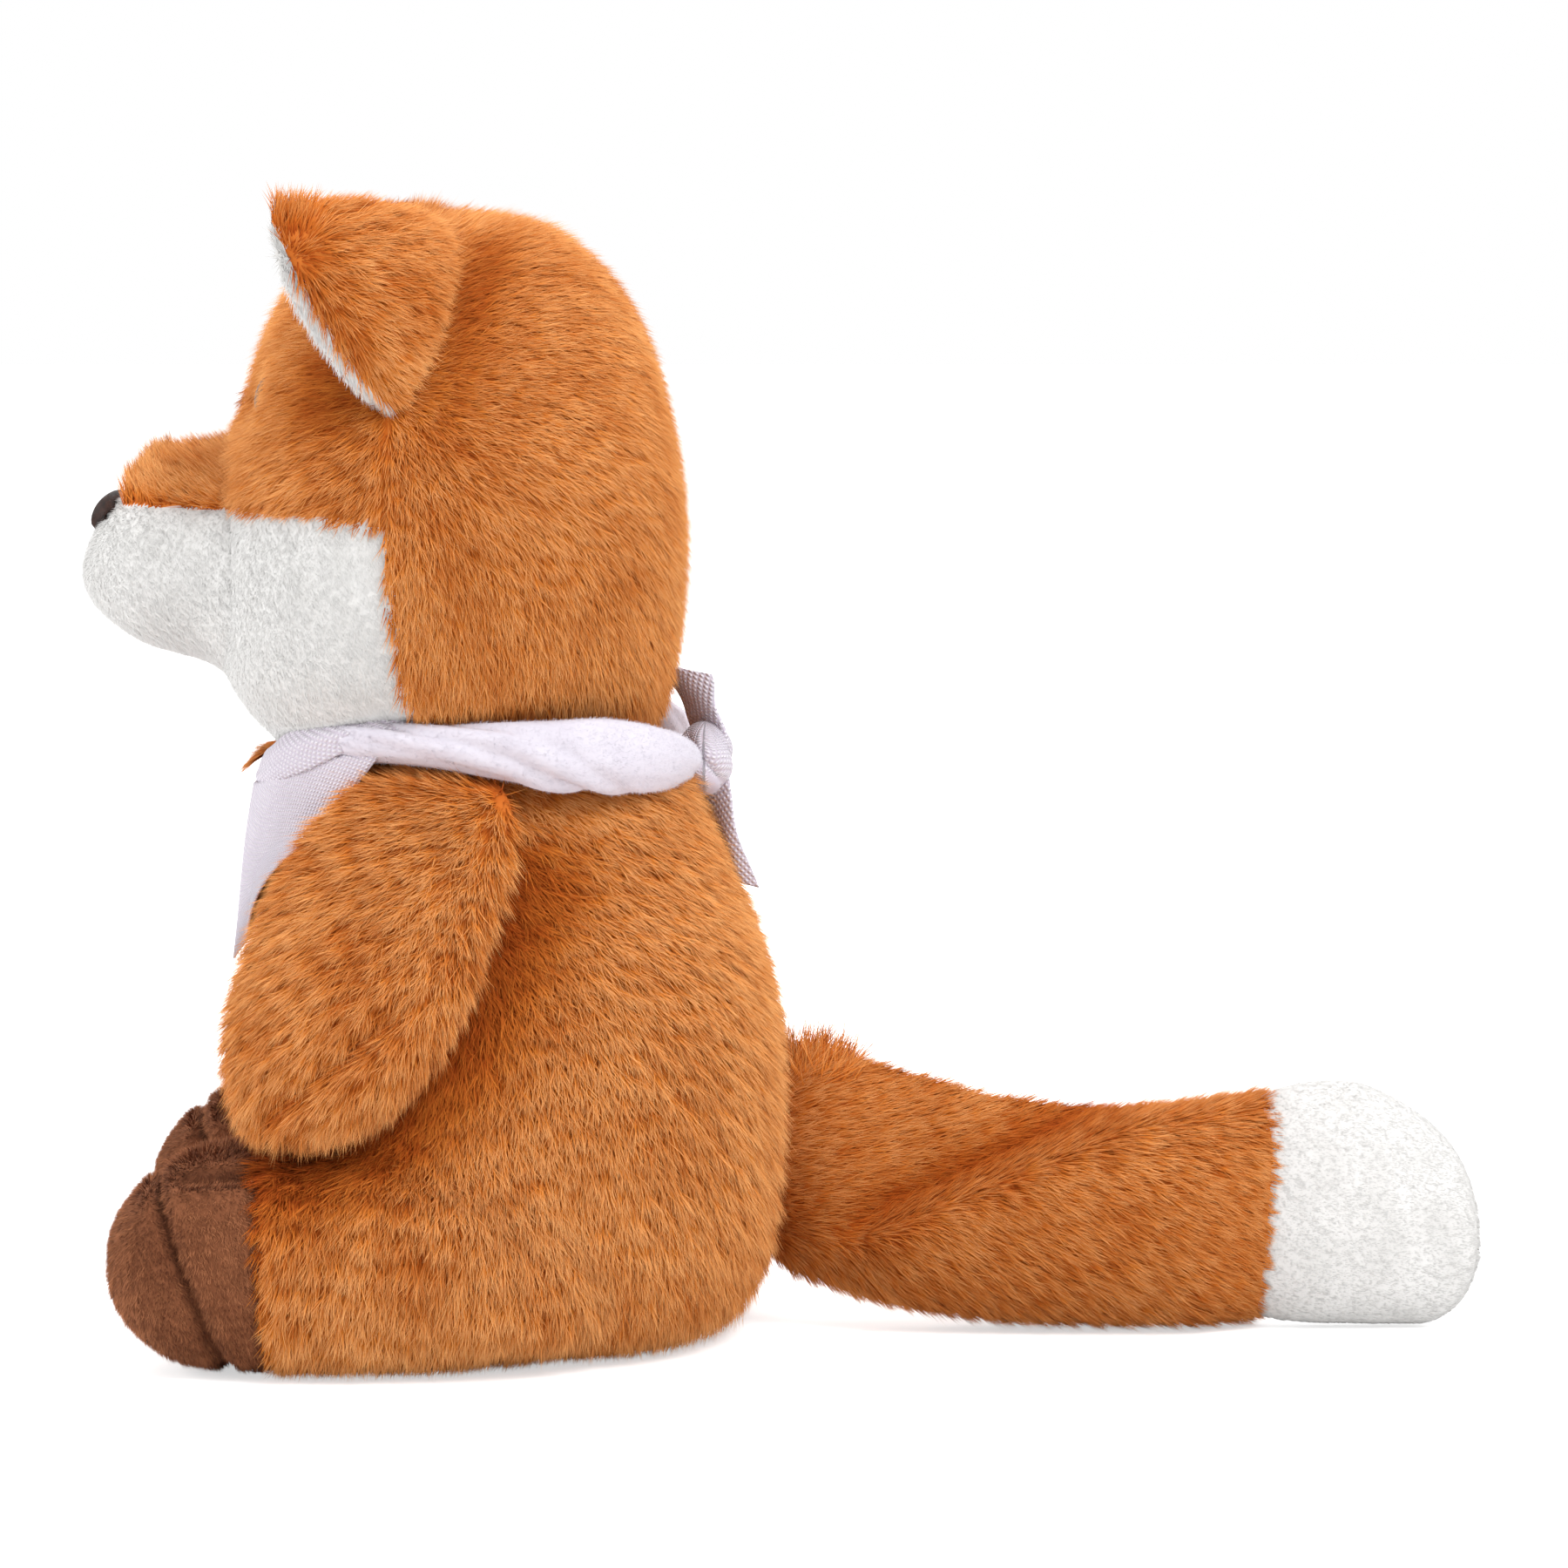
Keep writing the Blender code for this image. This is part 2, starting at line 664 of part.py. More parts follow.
def make_eyes(head_parts, plastic, grey):
    """Safety eyes: a domed button whose shank passes the face and holds a washer inside."""
    stuffing = head_parts["head_stuffing"]
    pieces = []
    for side, sign in (("left", 1), ("right", -1)):
        face = head_parts["face_" + side]
        x = sign * EYE_OFFSET
        z = head_base() + EYE_RISE
        seat = Vector((x, head_front_at(x, z), z))
        normal = head_normal_at(x, z)
        pieces.append(eye_button(side + "_eye", seat, normal, plastic))
        back = -normal
        hole = cutter_rod(side + "_eye_hole", seat + normal * SKIN, back, SHANK_HOLE, 4 * SKIN)
        cut(face, hole)
        pocket_depth = SHANK_LENGTH + SKIN
        pocket = cutter_rod(side + "_washer_pocket", seat + normal * SKIN, back, WASHER_POCKET,
                            pocket_depth + SKIN)
        cut(stuffing, pocket)
        inside_face = seat + back * (SKIN + 2 * SEAT_GAP)
        pieces.append(washer(side + "_eye_washer", inside_face, back, grey))
    return pieces


def eye_button(name, seat, normal, surface):
    """A low dome with a straight shank behind it, turned about the face's own direction."""
    profile = [(0.0, EYE_DOME)]
    for step in range(1, DOME_STEPS + 1):
        angle = math.pi / 2 * step / DOME_STEPS
        profile.append((EYE_RADIUS * math.sin(angle), EYE_DOME * math.cos(angle)))
    profile += [(EYE_RADIUS, -SEAT_GAP), (SHANK_RADIUS, -SEAT_GAP),
                (SHANK_RADIUS, -SHANK_LENGTH), (0.0, -SHANK_LENGTH)]
    rest = seat + normal * 3 * SEAT_GAP
    return turned(name, profile, rest, normal, surface)


def washer(name, place, direction, surface):
    """A flat ring that grips the shank behind the cloth."""
    bore = SHANK_RADIUS + SEAT_GAP
    profile = [(bore, 0.0), (WASHER_RADIUS, 0.0), (WASHER_RADIUS, WASHER_THICK), (bore, WASHER_THICK)]
    return turned(name, profile, place, direction, surface, closed=True)


def turned(name, profile, place, direction, surface, closed=False):
    """Spin a profile of radius and height about a direction."""
    turn = direction.to_track_quat("Z", "Y").to_matrix()
    points = []
    index = []
    for radius, height in profile:
        row = []
        for angle in even_angles(TURNED_AROUND if radius > 0 else 1):
            local = Vector((radius * math.cos(angle), radius * math.sin(angle), height))
            row.append(len(points))
            points.append(place + turn @ local)
        index.append(row if len(row) > 1 else row * TURNED_AROUND)
    following = index[1:] + (index[:1] if closed else [])
    faces = []
    for low, high in zip(index, following):
        for step in range(TURNED_AROUND):
            after = (step + 1) % TURNED_AROUND
            corners = (low[step], low[after], high[after], high[step])
            face = tuple(dict.fromkeys(corners))
            if len(face) > 2:
                faces.append(face)
    return make_object(name, points, faces, surface)


def ear_frame():
    """Place of the left ear: middle of its seam, the seam's direction and the way to its tip."""
    table = np.array(HEAD_SHARES)
    ends = []
    for level in (EAR_TOP_SHARE, EAR_LOW_SHARE):
        wide = HEAD_HALF_WIDTH * np.interp(level, table[:, 0], table[:, 3])
        ends.append(Vector((wide, HEAD_SEAM_Y, head_base() + HEAD_HEIGHT * level)))
    top, low = ends
    middle = (top + low) / 2
    along = (top - low).normalized()
    rise = Vector((EAR_REACH_OUT, -EAR_REACH_FORWARD, EAR_REACH_UP))
    lean = rise.dot(along)
    up = (rise - along * lean).normalized()
    facing = along.cross(up).normalized()
    return middle, along, up, facing, (top - low).length / 2, rise.dot(up), lean


def head_share_at(point):
    """How far out a point is of the head's skin, as a share: one is on the skin."""
    table = np.array(HEAD_SHARES)
    level = (point.z - head_base()) / HEAD_HEIGHT
    front, back, wide = (np.interp(level, table[:, 0], table[:, column]) for column in (1, 2, 3))
    ahead = point.y - HEAD_SEAM_Y
    depth = HEAD_FRONT * front if ahead < 0 else HEAD_BACK * back
    shares = abs(point.x) / (HEAD_HALF_WIDTH * wide), abs(ahead) / depth
    return (shares[0] ** HEAD_ROUND + shares[1] ** HEAD_ROUND) ** (1.0 / HEAD_ROUND)


def lift_to_skin(point, up):
    """How far a point must move along a direction to stand just clear of the head's skin."""
    low = -EAR_CUP * 2
    high = EAR_CUP * 2
    for _ in range(SEARCH_STEPS):
        middle = (low + high) / 2
        if head_share_at(point + up * middle) < 1.0:
            low = middle
        else:
            high = middle
    return high + EAR_ROOT_LIFT


def ear_layer(near, far, sign):
    """Rows of one layer of the ear, between two distances behind its middle surface."""
    middle, along, up, facing, half, height, lean = ear_frame()
    layers = []
    for depth in (near, far):
        rows = []
        for rise_share, width_share in EAR_SHARES:
            row = []
            for step in range(EAR_ACROSS + 1):
                across = 2 * step / EAR_ACROSS - 1
                cup = EAR_CUP * across * across * width_share * (EAR_ROOT_CUP_SHARE + rise_share)
                seat = middle + along * across * half - facing * (depth - cup)
                root = lift_to_skin(seat, up)
                lift = root * (1.0 - rise_share) + height * rise_share
                point = (middle + along * (across * half * width_share + lean * rise_share)
                         + up * lift - facing * (depth - cup))
                row.append((sign * point.x, point.y, point.z))
            rows.append(row)
        layers.append(np.array(rows))
    return layers


def make_ears(orange, white):
    """Ears: an orange back and a white lining, sewn edge to edge and cupped forward."""
    ears = {}
    for side, sign in (("left", 1), ("right", -1)):
        back_near, back_far = ear_layer(SEAM_GAP / 2, SEAM_GAP / 2 + EAR_BACK_THICK, sign)
        lining_near, lining_far = ear_layer(-SEAM_GAP / 2, -SEAM_GAP / 2 - EAR_LINING_THICK, sign)
        ears[side] = [panel(side + "_ear_back", back_far, back_near, orange),
                      panel(side + "_ear_lining", lining_far, lining_near, white)]
    return ears


def arm_length():
    """The arms hang from below the neck to just above the legs."""
    return BODY_HEIGHT - ARM_DROP - LEG_TOP_Z - ARM_LEG_GAP


def arm_rows(around, depth=0.0):
    """Rows of the left arm from the shoulder down, its inner side laid along the trunk.

    A depth draws every row in by that much all round, and by less where the row is slim.
    """
    rows = []
    for drop, middle_share, depth_share, thick_share in ARM_SHARES:
        z = BODY_HEIGHT - ARM_DROP - arm_length() * drop
        middle = ARM_MIDDLE_Y * middle_share
        half = ARM_HALF_DEPTH * depth_share
        thick = ARM_THICK * thick_share
        inset = depth * min(thick / 2 / FULL_CLOTH_RADIUS, 1.0)
        row = []
        for angle in even_angles(around):
            along, across = rounded(angle, LIMB_ROUND)
            y = middle - along * (half - inset)
            hug = body_half_width_at(0.0, z) * (1.0 - ARM_WRAP_SHARE * (y / BODY_FRONT) ** 2)
            row.append((hug + ARM_CLEARANCE + thick / 2 + across * (thick / 2 - inset), y, z))
        rows.append(row)
    return np.array(rows)


def shoulder():
    """Where the shoulder seam is, out from the middle and up from the floor."""
    z = BODY_HEIGHT - ARM_DROP - SHOULDER_SINK
    return body_half_width_at(0.0, z), z


def make_arms(orange, padding):
    """Arms: an outer and an inner panel round their stuffing."""
    outer = arm_rows(LIMB_AROUND)
    inner = arm_rows(LIMB_AROUND, SKIN)
    core = arm_rows(LIMB_AROUND, SKIN + 2 * SEAT_GAP)
    half = LIMB_AROUND // 2
    arms = {}
    for side, flip in (("left", lambda grid: grid), ("right", mirrored)):
        arms[side] = [
            panel(side + "_arm_outer", flip(columns_between(outer, 0, half)),
                  flip(columns_between(inner, 0, half)), orange),
            panel(side + "_arm_inner", flip(columns_between(outer, half, 2 * half)),
                  flip(columns_between(inner, half, 2 * half)), orange),
            ring_solid(side + "_arm_stuffing", flip(core[1:-1]), padding)]
    return arms


def leg_rows(around):
    """Rows of the left leg from the hip to the toe, slanting as they near the sole."""
    middle_z = (LEG_TOP_Z + LEG_LIFT) / 2
    tall = (LEG_TOP_Z - LEG_LIFT) / 2
    start = HIP_Y - SEAT_GAP
    rows = []
    for reach, top, bottom, wide, slant in LEG_SHARES:
        row = []
        for angle in even_angles(around):
            up, across = rounded(angle, LEG_ROUND)
            rise = up * tall * (top if up > 0 else bottom)
            y = start - LEG_LENGTH * reach - SOLE_SLANT * slant * rise
            row.append((LEG_MIDDLE_X + across * LEG_HALF_WIDTH * wide, y, middle_z + rise))
        rows.append(row)
    return np.array(rows)


def make_legs(orange, brown, padding):
    """Legs: an orange thigh, a brown foot and its slanting sole, round their stuffing."""
    outer = leg_rows(LIMB_AROUND)
    inner = inside(outer, SKIN)
    core = inside(outer, SKIN + SEAT_GAP)
    for rows in (inner, core):
        rows[0, :, 1] = outer[0, :, 1]
    foot_end = HIP_ROW_COUNT + INSTEP_ROW_COUNT
    spans = (("thigh", 0, HIP_ROW_COUNT, orange), ("foot_upper", HIP_ROW_COUNT, foot_end, brown),
             ("foot_sole", foot_end, len(LEG_SHARES) - 1, brown))
    legs = {}
    for side, flip in (("left", lambda grid: grid), ("right", mirrored)):
        pieces = []
        for word, start, stop, surface in spans:
            pieces.append(sleeve(side + "_" + word, flip(outer[start:stop + 1]),
                                 flip(inner[start:stop + 1]), surface))
        pieces.append(ring_solid(side + "_leg_stuffing", flip(core[:-1]), padding))
        legs[side] = pieces
    return legs


def sleeve(name, outer, inner, surface):
    """A tube of cloth, open at both ends, thick between its outer and inner rows."""
    outer = outer.copy()
    inner = inner.copy()
    for grid in (outer, inner):
        for edge, neighbour in ((0, 1), (-1, -2)):
            step = grid[neighbour] - grid[edge]
            grid[edge] += SEAM_GAP / 2 * step / np.linalg.norm(step, axis=1, keepdims=True)
    rows, columns = outer.shape[:2]
    size = rows * columns
    points = np.vstack([outer.reshape(-1, 3), inner.reshape(-1, 3)])
    faces = []
    for row in range(rows - 1):
        for column in range(columns):
            after = (column + 1) % columns
            quad = (row * columns + column, row * columns + after,
                    (row + 1) * columns + after, (row + 1) * columns + column)
            faces.append(quad)
            faces.append(tuple(corner + size for corner in reversed(quad)))
    for row in (0, rows - 1):
        for column in range(columns):
            here = row * columns + column
            after = row * columns + (column + 1) % columns
            faces.append((after, here, here + size, after + size))
    return make_object(name, points, faces, surface)


def tail_rows(table, start, length, around):
    """Rows of a stretch of the tail, sliced across it."""
    rows = []
    for reach, middle_share, height_share, thick_share in table:
        middle = TAIL_HEIGHT * middle_share
        half = TAIL_HEIGHT * height_share
        thick = TAIL_HALF_THICK * thick_share
        low = max(middle - half, TAIL_LIFT)
        half = (middle + half - low) / 2
        middle = low + half
        row = []
        for angle in even_angles(around):
            up, across = rounded(angle, LIMB_ROUND)
            row.append((across * thick, start + length * reach, middle + up * half))
        rows.append(row)
    return np.array(rows)


def tail_axis_y():
    """Where the upright axis of the tail's root is."""
    return BODY_BACK + TAIL_ROOT_GAP + TAIL_ROOT_RADIUS


def tip_seam_top():
    """Height of the top of the seam between the tail and its tip."""
    middle_share, height_share = TIP_SHARES[0][1:3]
    return TAIL_HEIGHT * (middle_share + height_share)


def round_root(grid):
    """Bring the first row of the tail round its upright axis, like half a post."""
    made = grid.copy()
    for point in made[0]:
        share = min(abs(point[0]) / TAIL_ROOT_RADIUS, 1.0)
        point[1] = tail_axis_y() - TAIL_ROOT_RADIUS * math.sqrt(max(1.0 - share * share, 0.0))
    return made


def make_tail(orange, white, padding):
    """Tail: two orange sides and their stuffing, then two white tip panels with theirs."""
    main_length = TAIL_LENGTH - TIP_LENGTH
    start = tail_axis_y()
    seam = start + main_length
    groups = {}
    spans = (("tail", TAIL_SHARES, start, main_length, orange),
             ("tail_tip", TIP_SHARES, seam + SEAM_GAP, TIP_LENGTH, white))
    half = LIMB_AROUND // 2
    for word, shares, first, length, surface in spans:
        outer = tail_rows(shares, first, length, LIMB_AROUND)
        inner = inside(outer, SKIN)
        core = inside(outer, SKIN + SEAT_GAP)
        for rows in (inner, core):
            rows[0, :, 1] = outer[0, :, 1]
        if word == "tail":
            outer, inner, core = (round_root(rows) for rows in (outer, inner, core))
            inner[-1, :, 1] = outer[-1, :, 1]
            core[-1, :, 1] = outer[-1, :, 1]
        groups[word] = [
            panel(word + "_left", columns_between(outer, 0, half),
                  columns_between(inner, 0, half), surface),
            panel(word + "_right", columns_between(outer, half, 2 * half),
                  columns_between(inner, half, 2 * half), surface),
            ring_solid(word + "_stuffing", core, padding)]
    return groups


def band_centre(angle):
    """Middle of the bandana's band at an angle from the front, round by +X."""
    front_share, back_share, width_share = BODY_SHARES[-2][1:]
    along, across = rounded(angle, BODY_ROUND)
    depth = BODY_FRONT * front_share if along > 0 else BODY_BACK * back_share
    wide = BODY_HALF_WIDTH * width_share + BAND_STAND_OFF
    drop = BAND_DIP * (max(along, 0.0) ** 2 + max(-along, 0.0) ** 2 / 2)
    level = BODY_HEIGHT - BAND_SINK - drop
    return Vector((across * wide, -along * (depth + BAND_STAND_OFF), level))


def make_band(surface):
    """The rolled band of the bandana: an oval rope of cloth round the neck."""
    points = []
    for angle in even_angles(BAND_AROUND):
        centre = band_centre(angle)
        ahead = band_centre(angle + math.pi / BAND_AROUND)
        behind = band_centre(angle - math.pi / BAND_AROUND)
        outward = (ahead - behind).cross(Vector((0.0, 0.0, 1.0))).normalized()
        for turn in even_angles(BAND_SIDES):
            points.append(centre + outward * BAND_HALF_THICK * math.cos(turn)
                          + Vector((0.0, 0.0, BAND_HALF_HEIGHT * math.sin(turn))))
    faces = []
    for step in range(BAND_AROUND):
        for side in range(BAND_SIDES):
            here = step * BAND_SIDES + side
            up = step * BAND_SIDES + (side + 1) % BAND_SIDES
            across = (here + BAND_SIDES) % len(points)
            far = (up + BAND_SIDES) % len(points)
            faces.append((here, across, far, up))
    return make_object("bandana_band", points, faces, surface)


def make_knot(surface):
    """The knot behind the neck, a flattened ball that touches the band."""
    centre = band_centre(math.pi)
    place = Vector((0.0, centre.y + BAND_HALF_THICK + SEAT_GAP + KNOT_HALF_DEPTH, centre.z))
    build = bmesh.new()
    size = Matrix.Diagonal((KNOT_HALF_WIDTH, KNOT_HALF_DEPTH, KNOT_HALF_HEIGHT, 1.0))
    bmesh.ops.create_uvsphere(build, u_segments=KNOT_AROUND, v_segments=KNOT_RISE, radius=1.0,
                              matrix=Matrix.Translation(place) @ size)
    points = [vertex.co.copy() for vertex in build.verts]
    faces = [tuple(vertex.index for vertex in face.verts) for face in build.faces]
    build.free()
    return make_object("bandana_knot", points, faces, surface), place


def make_ends(knot, surface):
    """The two loose ends of the bandana: a short one standing up and a longer one hanging."""
    ends = []
    shapes = (("bandana_end_upper", 1,
               UPPER_END_LENGTH, UPPER_END_WIDTH, UPPER_END_TIP, UPPER_END_LEAN),
              ("bandana_end_lower", -1,
               LOWER_END_LENGTH, LOWER_END_WIDTH, LOWER_END_TIP, LOWER_END_LEAN))
    for name, way, length, wide, tip, lean in shapes:
        start = knot + Vector((0.0, 0.0, way * (KNOT_HALF_HEIGHT + SEAT_GAP)))
        half = END_THICK / 2
        outer = []
        inner = []
        for share in END_SHARES:
            middle = start + Vector((0.0, lean * share, way * length * share))
            reach = (wide * (1 - share) + tip * share) / 2
            row = [middle + Vector((reach * across, 0.0, 0.0)) for across in END_ACROSS_SHARES]
            outer.append([point + Vector((0.0, half, 0.0)) for point in row])
            inner.append([point - Vector((0.0, half, 0.0)) for point in row])
        ends.append(panel(name, np.array(outer), np.array(inner), surface))
    return ends


def flap_top():
    """Height of the fold where the flap leaves the band."""
    return band_centre(0.0).z - BAND_HALF_HEIGHT - SEAT_GAP


def make_flap(surface):
    """The bandana's blank flap, curved round the chest below the band."""
    top = flap_top()
    outer = []
    inner = []
    for row in range(FLAP_ROWS + 1):
        share = row / FLAP_ROWS
        z = top - FLAP_HEIGHT * share
        reach = FLAP_HALF_WIDTH * (1.0 - share) ** FLAP_TAPER + FLAP_THICK
        line = []
        for column in range(FLAP_ACROSS + 1):
            x = reach * (2 * column / FLAP_ACROSS - 1)
            line.append((x, chest_at(x, z) - FLAP_STAND_OFF, z))
        inner.append(line)
        outer.append([(x, y - FLAP_THICK, height) for x, y, height in line])
    return panel("bandana_flap", np.array(outer), np.array(inner), surface)


def chest_at(x, z):
    """Where the front of the trunk's skin is, for a place seen from the front."""
    table = np.array(BODY_SHARES)
    level = z / BODY_HEIGHT
    front, wide = (np.interp(level, table[:, 0], table[:, column]) for column in (1, 3))
    share = min(abs(x) / (BODY_HALF_WIDTH * wide), 1.0)
    return -BODY_FRONT * front * (1.0 - share ** BODY_ROUND) ** (1.0 / BODY_ROUND)


def build_fox():
    """Make every piece and hang the moving ones on their joints."""
    clear_scene()
    orange = material("orange_plush")
    white = material("white_plush")
    brown = material("brown_plush")
    padding = material("fibre_fill")
    dark = material("nose_thread")
    cloth = material("bandana_knit")
    plastic = material("eye_plastic")
    grey = material("washer_plastic")

    make_body(orange, padding)
    make_band(cloth)
    knot, knot_place = make_knot(cloth)
    make_ends(knot_place, cloth)

    head = make_head(orange, white, padding)
    head_parts = {piece.name: piece for piece in head}
    head += make_muzzle(orange, white, padding, dark)
    head += make_eyes(head_parts, plastic, grey)
    head_pivot = hang(head, "head_pivot", (0.0, neck_y(), head_base()))

    middle = ear_frame()[0]
    for side, pieces in make_ears(orange, white).items():
        sign = 1 if side == "left" else -1
        pivot = hang(pieces, side + "_ear_pivot", (sign * middle.x, middle.y, middle.z))
        pivot.parent = head_pivot
        pivot.matrix_parent_inverse = Matrix.Translation(-head_pivot.location)

    for side, pieces in make_arms(orange, padding).items():
        sign = 1 if side == "left" else -1
        x, z = shoulder()
        hang(pieces, side + "_arm_pivot", (sign * x, ARM_MIDDLE_Y / 2, z))

    for side, pieces in make_legs(orange, brown, padding).items():
        sign = 1 if side == "left" else -1
        hang(pieces, side + "_leg_pivot",
             (sign * (LEG_MIDDLE_X + LEG_HALF_WIDTH), HIP_Y, LEG_TOP_Z / 2))

    tail = make_tail(orange, white, padding)
    tail_pivot = hang(tail["tail"], "tail_pivot", (0.0, tail_axis_y(), TAIL_HEIGHT / 2))
    tip_place = (0.0, tail_axis_y() + TAIL_LENGTH - TIP_LENGTH, tip_seam_top())
    tip_pivot = hang(tail["tail_tip"], "tail_tip_pivot", tip_place)
    tip_pivot.parent = tail_pivot
    tip_pivot.matrix_parent_inverse = Matrix.Translation(-tail_pivot.location)

    flap = make_flap(cloth)
    fold_y = chest_at(0.0, flap_top()) - FLAP_STAND_OFF - FLAP_THICK
    hang([flap], "flap_pivot", (0.0, fold_y, flap_top()))


build_fox()
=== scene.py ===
# %% [markdown]
# A seated plush fox with a blank knitted bandana. The real toy is sewn from polyester plush: a
# long orange pile, a short white pile and a short brown pile, stuffed with loose fibre. What the
# eye reads first is the pile, so every sewn panel here is a cloth surface with its own hairs.

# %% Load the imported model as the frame
import math

import bpy
import numpy as np
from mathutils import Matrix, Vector


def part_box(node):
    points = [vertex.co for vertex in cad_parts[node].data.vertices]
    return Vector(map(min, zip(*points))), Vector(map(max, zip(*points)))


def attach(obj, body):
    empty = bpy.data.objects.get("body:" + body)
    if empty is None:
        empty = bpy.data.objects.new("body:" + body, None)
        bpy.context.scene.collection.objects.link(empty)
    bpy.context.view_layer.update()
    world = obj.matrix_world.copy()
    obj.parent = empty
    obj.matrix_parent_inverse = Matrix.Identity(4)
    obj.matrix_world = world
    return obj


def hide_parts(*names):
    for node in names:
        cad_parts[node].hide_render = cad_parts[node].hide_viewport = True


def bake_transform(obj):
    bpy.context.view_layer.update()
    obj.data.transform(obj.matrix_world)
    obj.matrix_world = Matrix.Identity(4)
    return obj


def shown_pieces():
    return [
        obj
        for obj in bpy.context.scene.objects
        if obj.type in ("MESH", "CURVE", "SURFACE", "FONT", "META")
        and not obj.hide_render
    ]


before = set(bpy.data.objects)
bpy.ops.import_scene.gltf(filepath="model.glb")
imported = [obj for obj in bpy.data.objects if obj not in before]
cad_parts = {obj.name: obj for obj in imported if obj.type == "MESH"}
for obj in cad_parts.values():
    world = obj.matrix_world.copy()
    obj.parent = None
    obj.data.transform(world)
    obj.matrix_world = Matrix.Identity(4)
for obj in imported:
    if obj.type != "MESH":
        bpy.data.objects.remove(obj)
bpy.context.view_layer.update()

MM = 0.001
SIDES = (("left", 1), ("right", -1))

# %% [markdown]
# The shapes below are worked out in millimetres and turned into metres when a mesh is made. A
# form is a short list of slices. Between them runs a smooth curve, so a few measured slices give
# the swell and taper of a stuffed limb.


# %% Curves
def smooth(count, values):
    """Cubic Hermite curve through equally spaced rows: each slope is half the step between neighbours."""
    values = np.asarray(values, float)
    slopes = np.gradient(values, axis=0)
    place = np.linspace(0, len(values) - 1, count)
    low = np.minimum(place.astype(int), len(values) - 2)
    t = (place - low)[:, None]
    start, stop = values[low], values[low + 1]
    leave, arrive = slopes[low], slopes[low + 1]
    return (start * (2 * t**3 - 3 * t**2 + 1) + leave * (t**3 - 2 * t**2 + t)
            + stop * (3 * t**2 - 2 * t**3) + arrive * (t**3 - t**2))


def columns_of(rows, slices):
    """The columns of a smoothed table, each standing upright."""
    return (column[:, None] for column in smooth(rows, slices).T)


def ease(value, low, high):
    """Zero below low, one above high, and the smooth curve 3t^2 - 2t^3 between."""
    t = np.clip((value - low) / (high - low), 0, 1)
    return t * t * (3 - 2 * t)


def bell(distance, reach):
    """exp(-(distance / reach)^2): one at no distance, a third at the reach, nothing at twice as far."""
    return np.exp(-(distance / reach) ** 2)


def turns(count):
    """Equal angles of one whole turn, in a row."""
    return np.linspace(0, 2 * math.pi, count, endpoint=False)[None]


def rounded(angle, power):
    """Superellipse: cosine and sine, each raised to 2 / power with its sign kept."""
    first = np.sign(np.cos(angle)) * np.abs(np.cos(angle)) ** (2 / power)
    second = np.sign(np.sin(angle)) * np.abs(np.sin(angle)) ** (2 / power)
    return first, second


# %% Vectors and sides
def unit(vectors):
    """Vectors divided by their own length."""
    return vectors / np.maximum(np.linalg.norm(vectors, axis=-1, keepdims=True), 1e-9)


def dot(first, second):
    """The dot product of each pair of vectors, in a column."""
    return (first * second).sum(1, keepdims=True)


def mirror(sign):
    """Factors that turn a vector on the fox's left into one on the side of the sign."""
    return np.array([sign, 1.0, 1.0])


def both_sides(place, points):
    """A place on the fox's left for each point, mirrored where the point is on the right."""
    signs = np.ones(points.shape)
    signs[..., 0] = np.sign(points[..., 0])
    return place * signs


def on_left(points):
    """The points with those of the right side mirrored to the left."""
    return np.stack([np.abs(points[:, 0]), points[:, 1], points[:, 2]], axis=1)


# %% [markdown]
# Trunk and head are sliced level, limbs and tail are sliced across. Both kinds of form end as a
# grid of points that closes round each row, with an outward normal at every point.


# %% Two kinds of stuffed form
def upright(slices, power, rows, around):
    """Level slices: height, front, back, half width and seam. Each row is a superellipse that runs
    from the front, round by +X to the back, with its own depth before and behind the seam."""
    z, front, back, wide, seam = columns_of(rows, slices)
    along, across = rounded(turns(around), power)
    depth = np.where(along > 0, seam - front, back - seam)
    return np.stack([across * wide, seam - along * depth, z + 0 * along], axis=-1)


def lengthwise(slices, power, rows, around):
    """Slices across Y: place, top, bottom, half width and middle x. Each row is a superellipse
    that runs from the top round by +X to the bottom."""
    y, top, bottom, wide, middle = columns_of(rows, slices)
    up, across = rounded(turns(around), power)
    height = (top + bottom) / 2 + up * (top - bottom) / 2
    return np.stack([middle + across * wide, y + 0 * up, height], axis=-1)


def normals(grid):
    """Cross product of the steps round and along the form, turned to point away from each row's middle."""
    around = np.roll(grid, -1, axis=1) - np.roll(grid, 1, axis=1)
    along = np.gradient(grid, axis=0)
    made = unit(np.cross(around, along))
    outward = np.sum(made * (grid - grid.mean(axis=(0, 1))))
    made = made * np.sign(outward)
    for end, inner in ((0, 1), (-1, -2)):
        if np.ptp(grid[end], axis=0).max() < 1e-6:
            made[end] = unit(made[inner].mean(axis=0))
    return made


def triangles_of(rows, columns, closed):
    """Two triangles for each cell of a grid, which may close round its columns."""
    across = columns if closed else columns - 1
    row, column = np.meshgrid(np.arange(rows - 1), np.arange(across), indexing="ij")
    after = (column + 1) % columns
    a, b = row * columns + column, row * columns + after
    c, d = (row + 1) * columns + after, (row + 1) * columns + column
    return np.concatenate([np.stack([a, b, c], -1).reshape(-1, 3), np.stack([a, c, d], -1).reshape(-1, 3)])


# %% [markdown]
# Plush pile lies in a nap: every hair leans the same way as its neighbours, and the tips gather
# into small locks. Blender's hair curves are not part of an exported mesh, so each lock is a thin
# roof of two triangles, with its ridge outward. It shows from every side, and its normals are
# those of the cloth beneath, so that the coat is shaded as one soft surface.


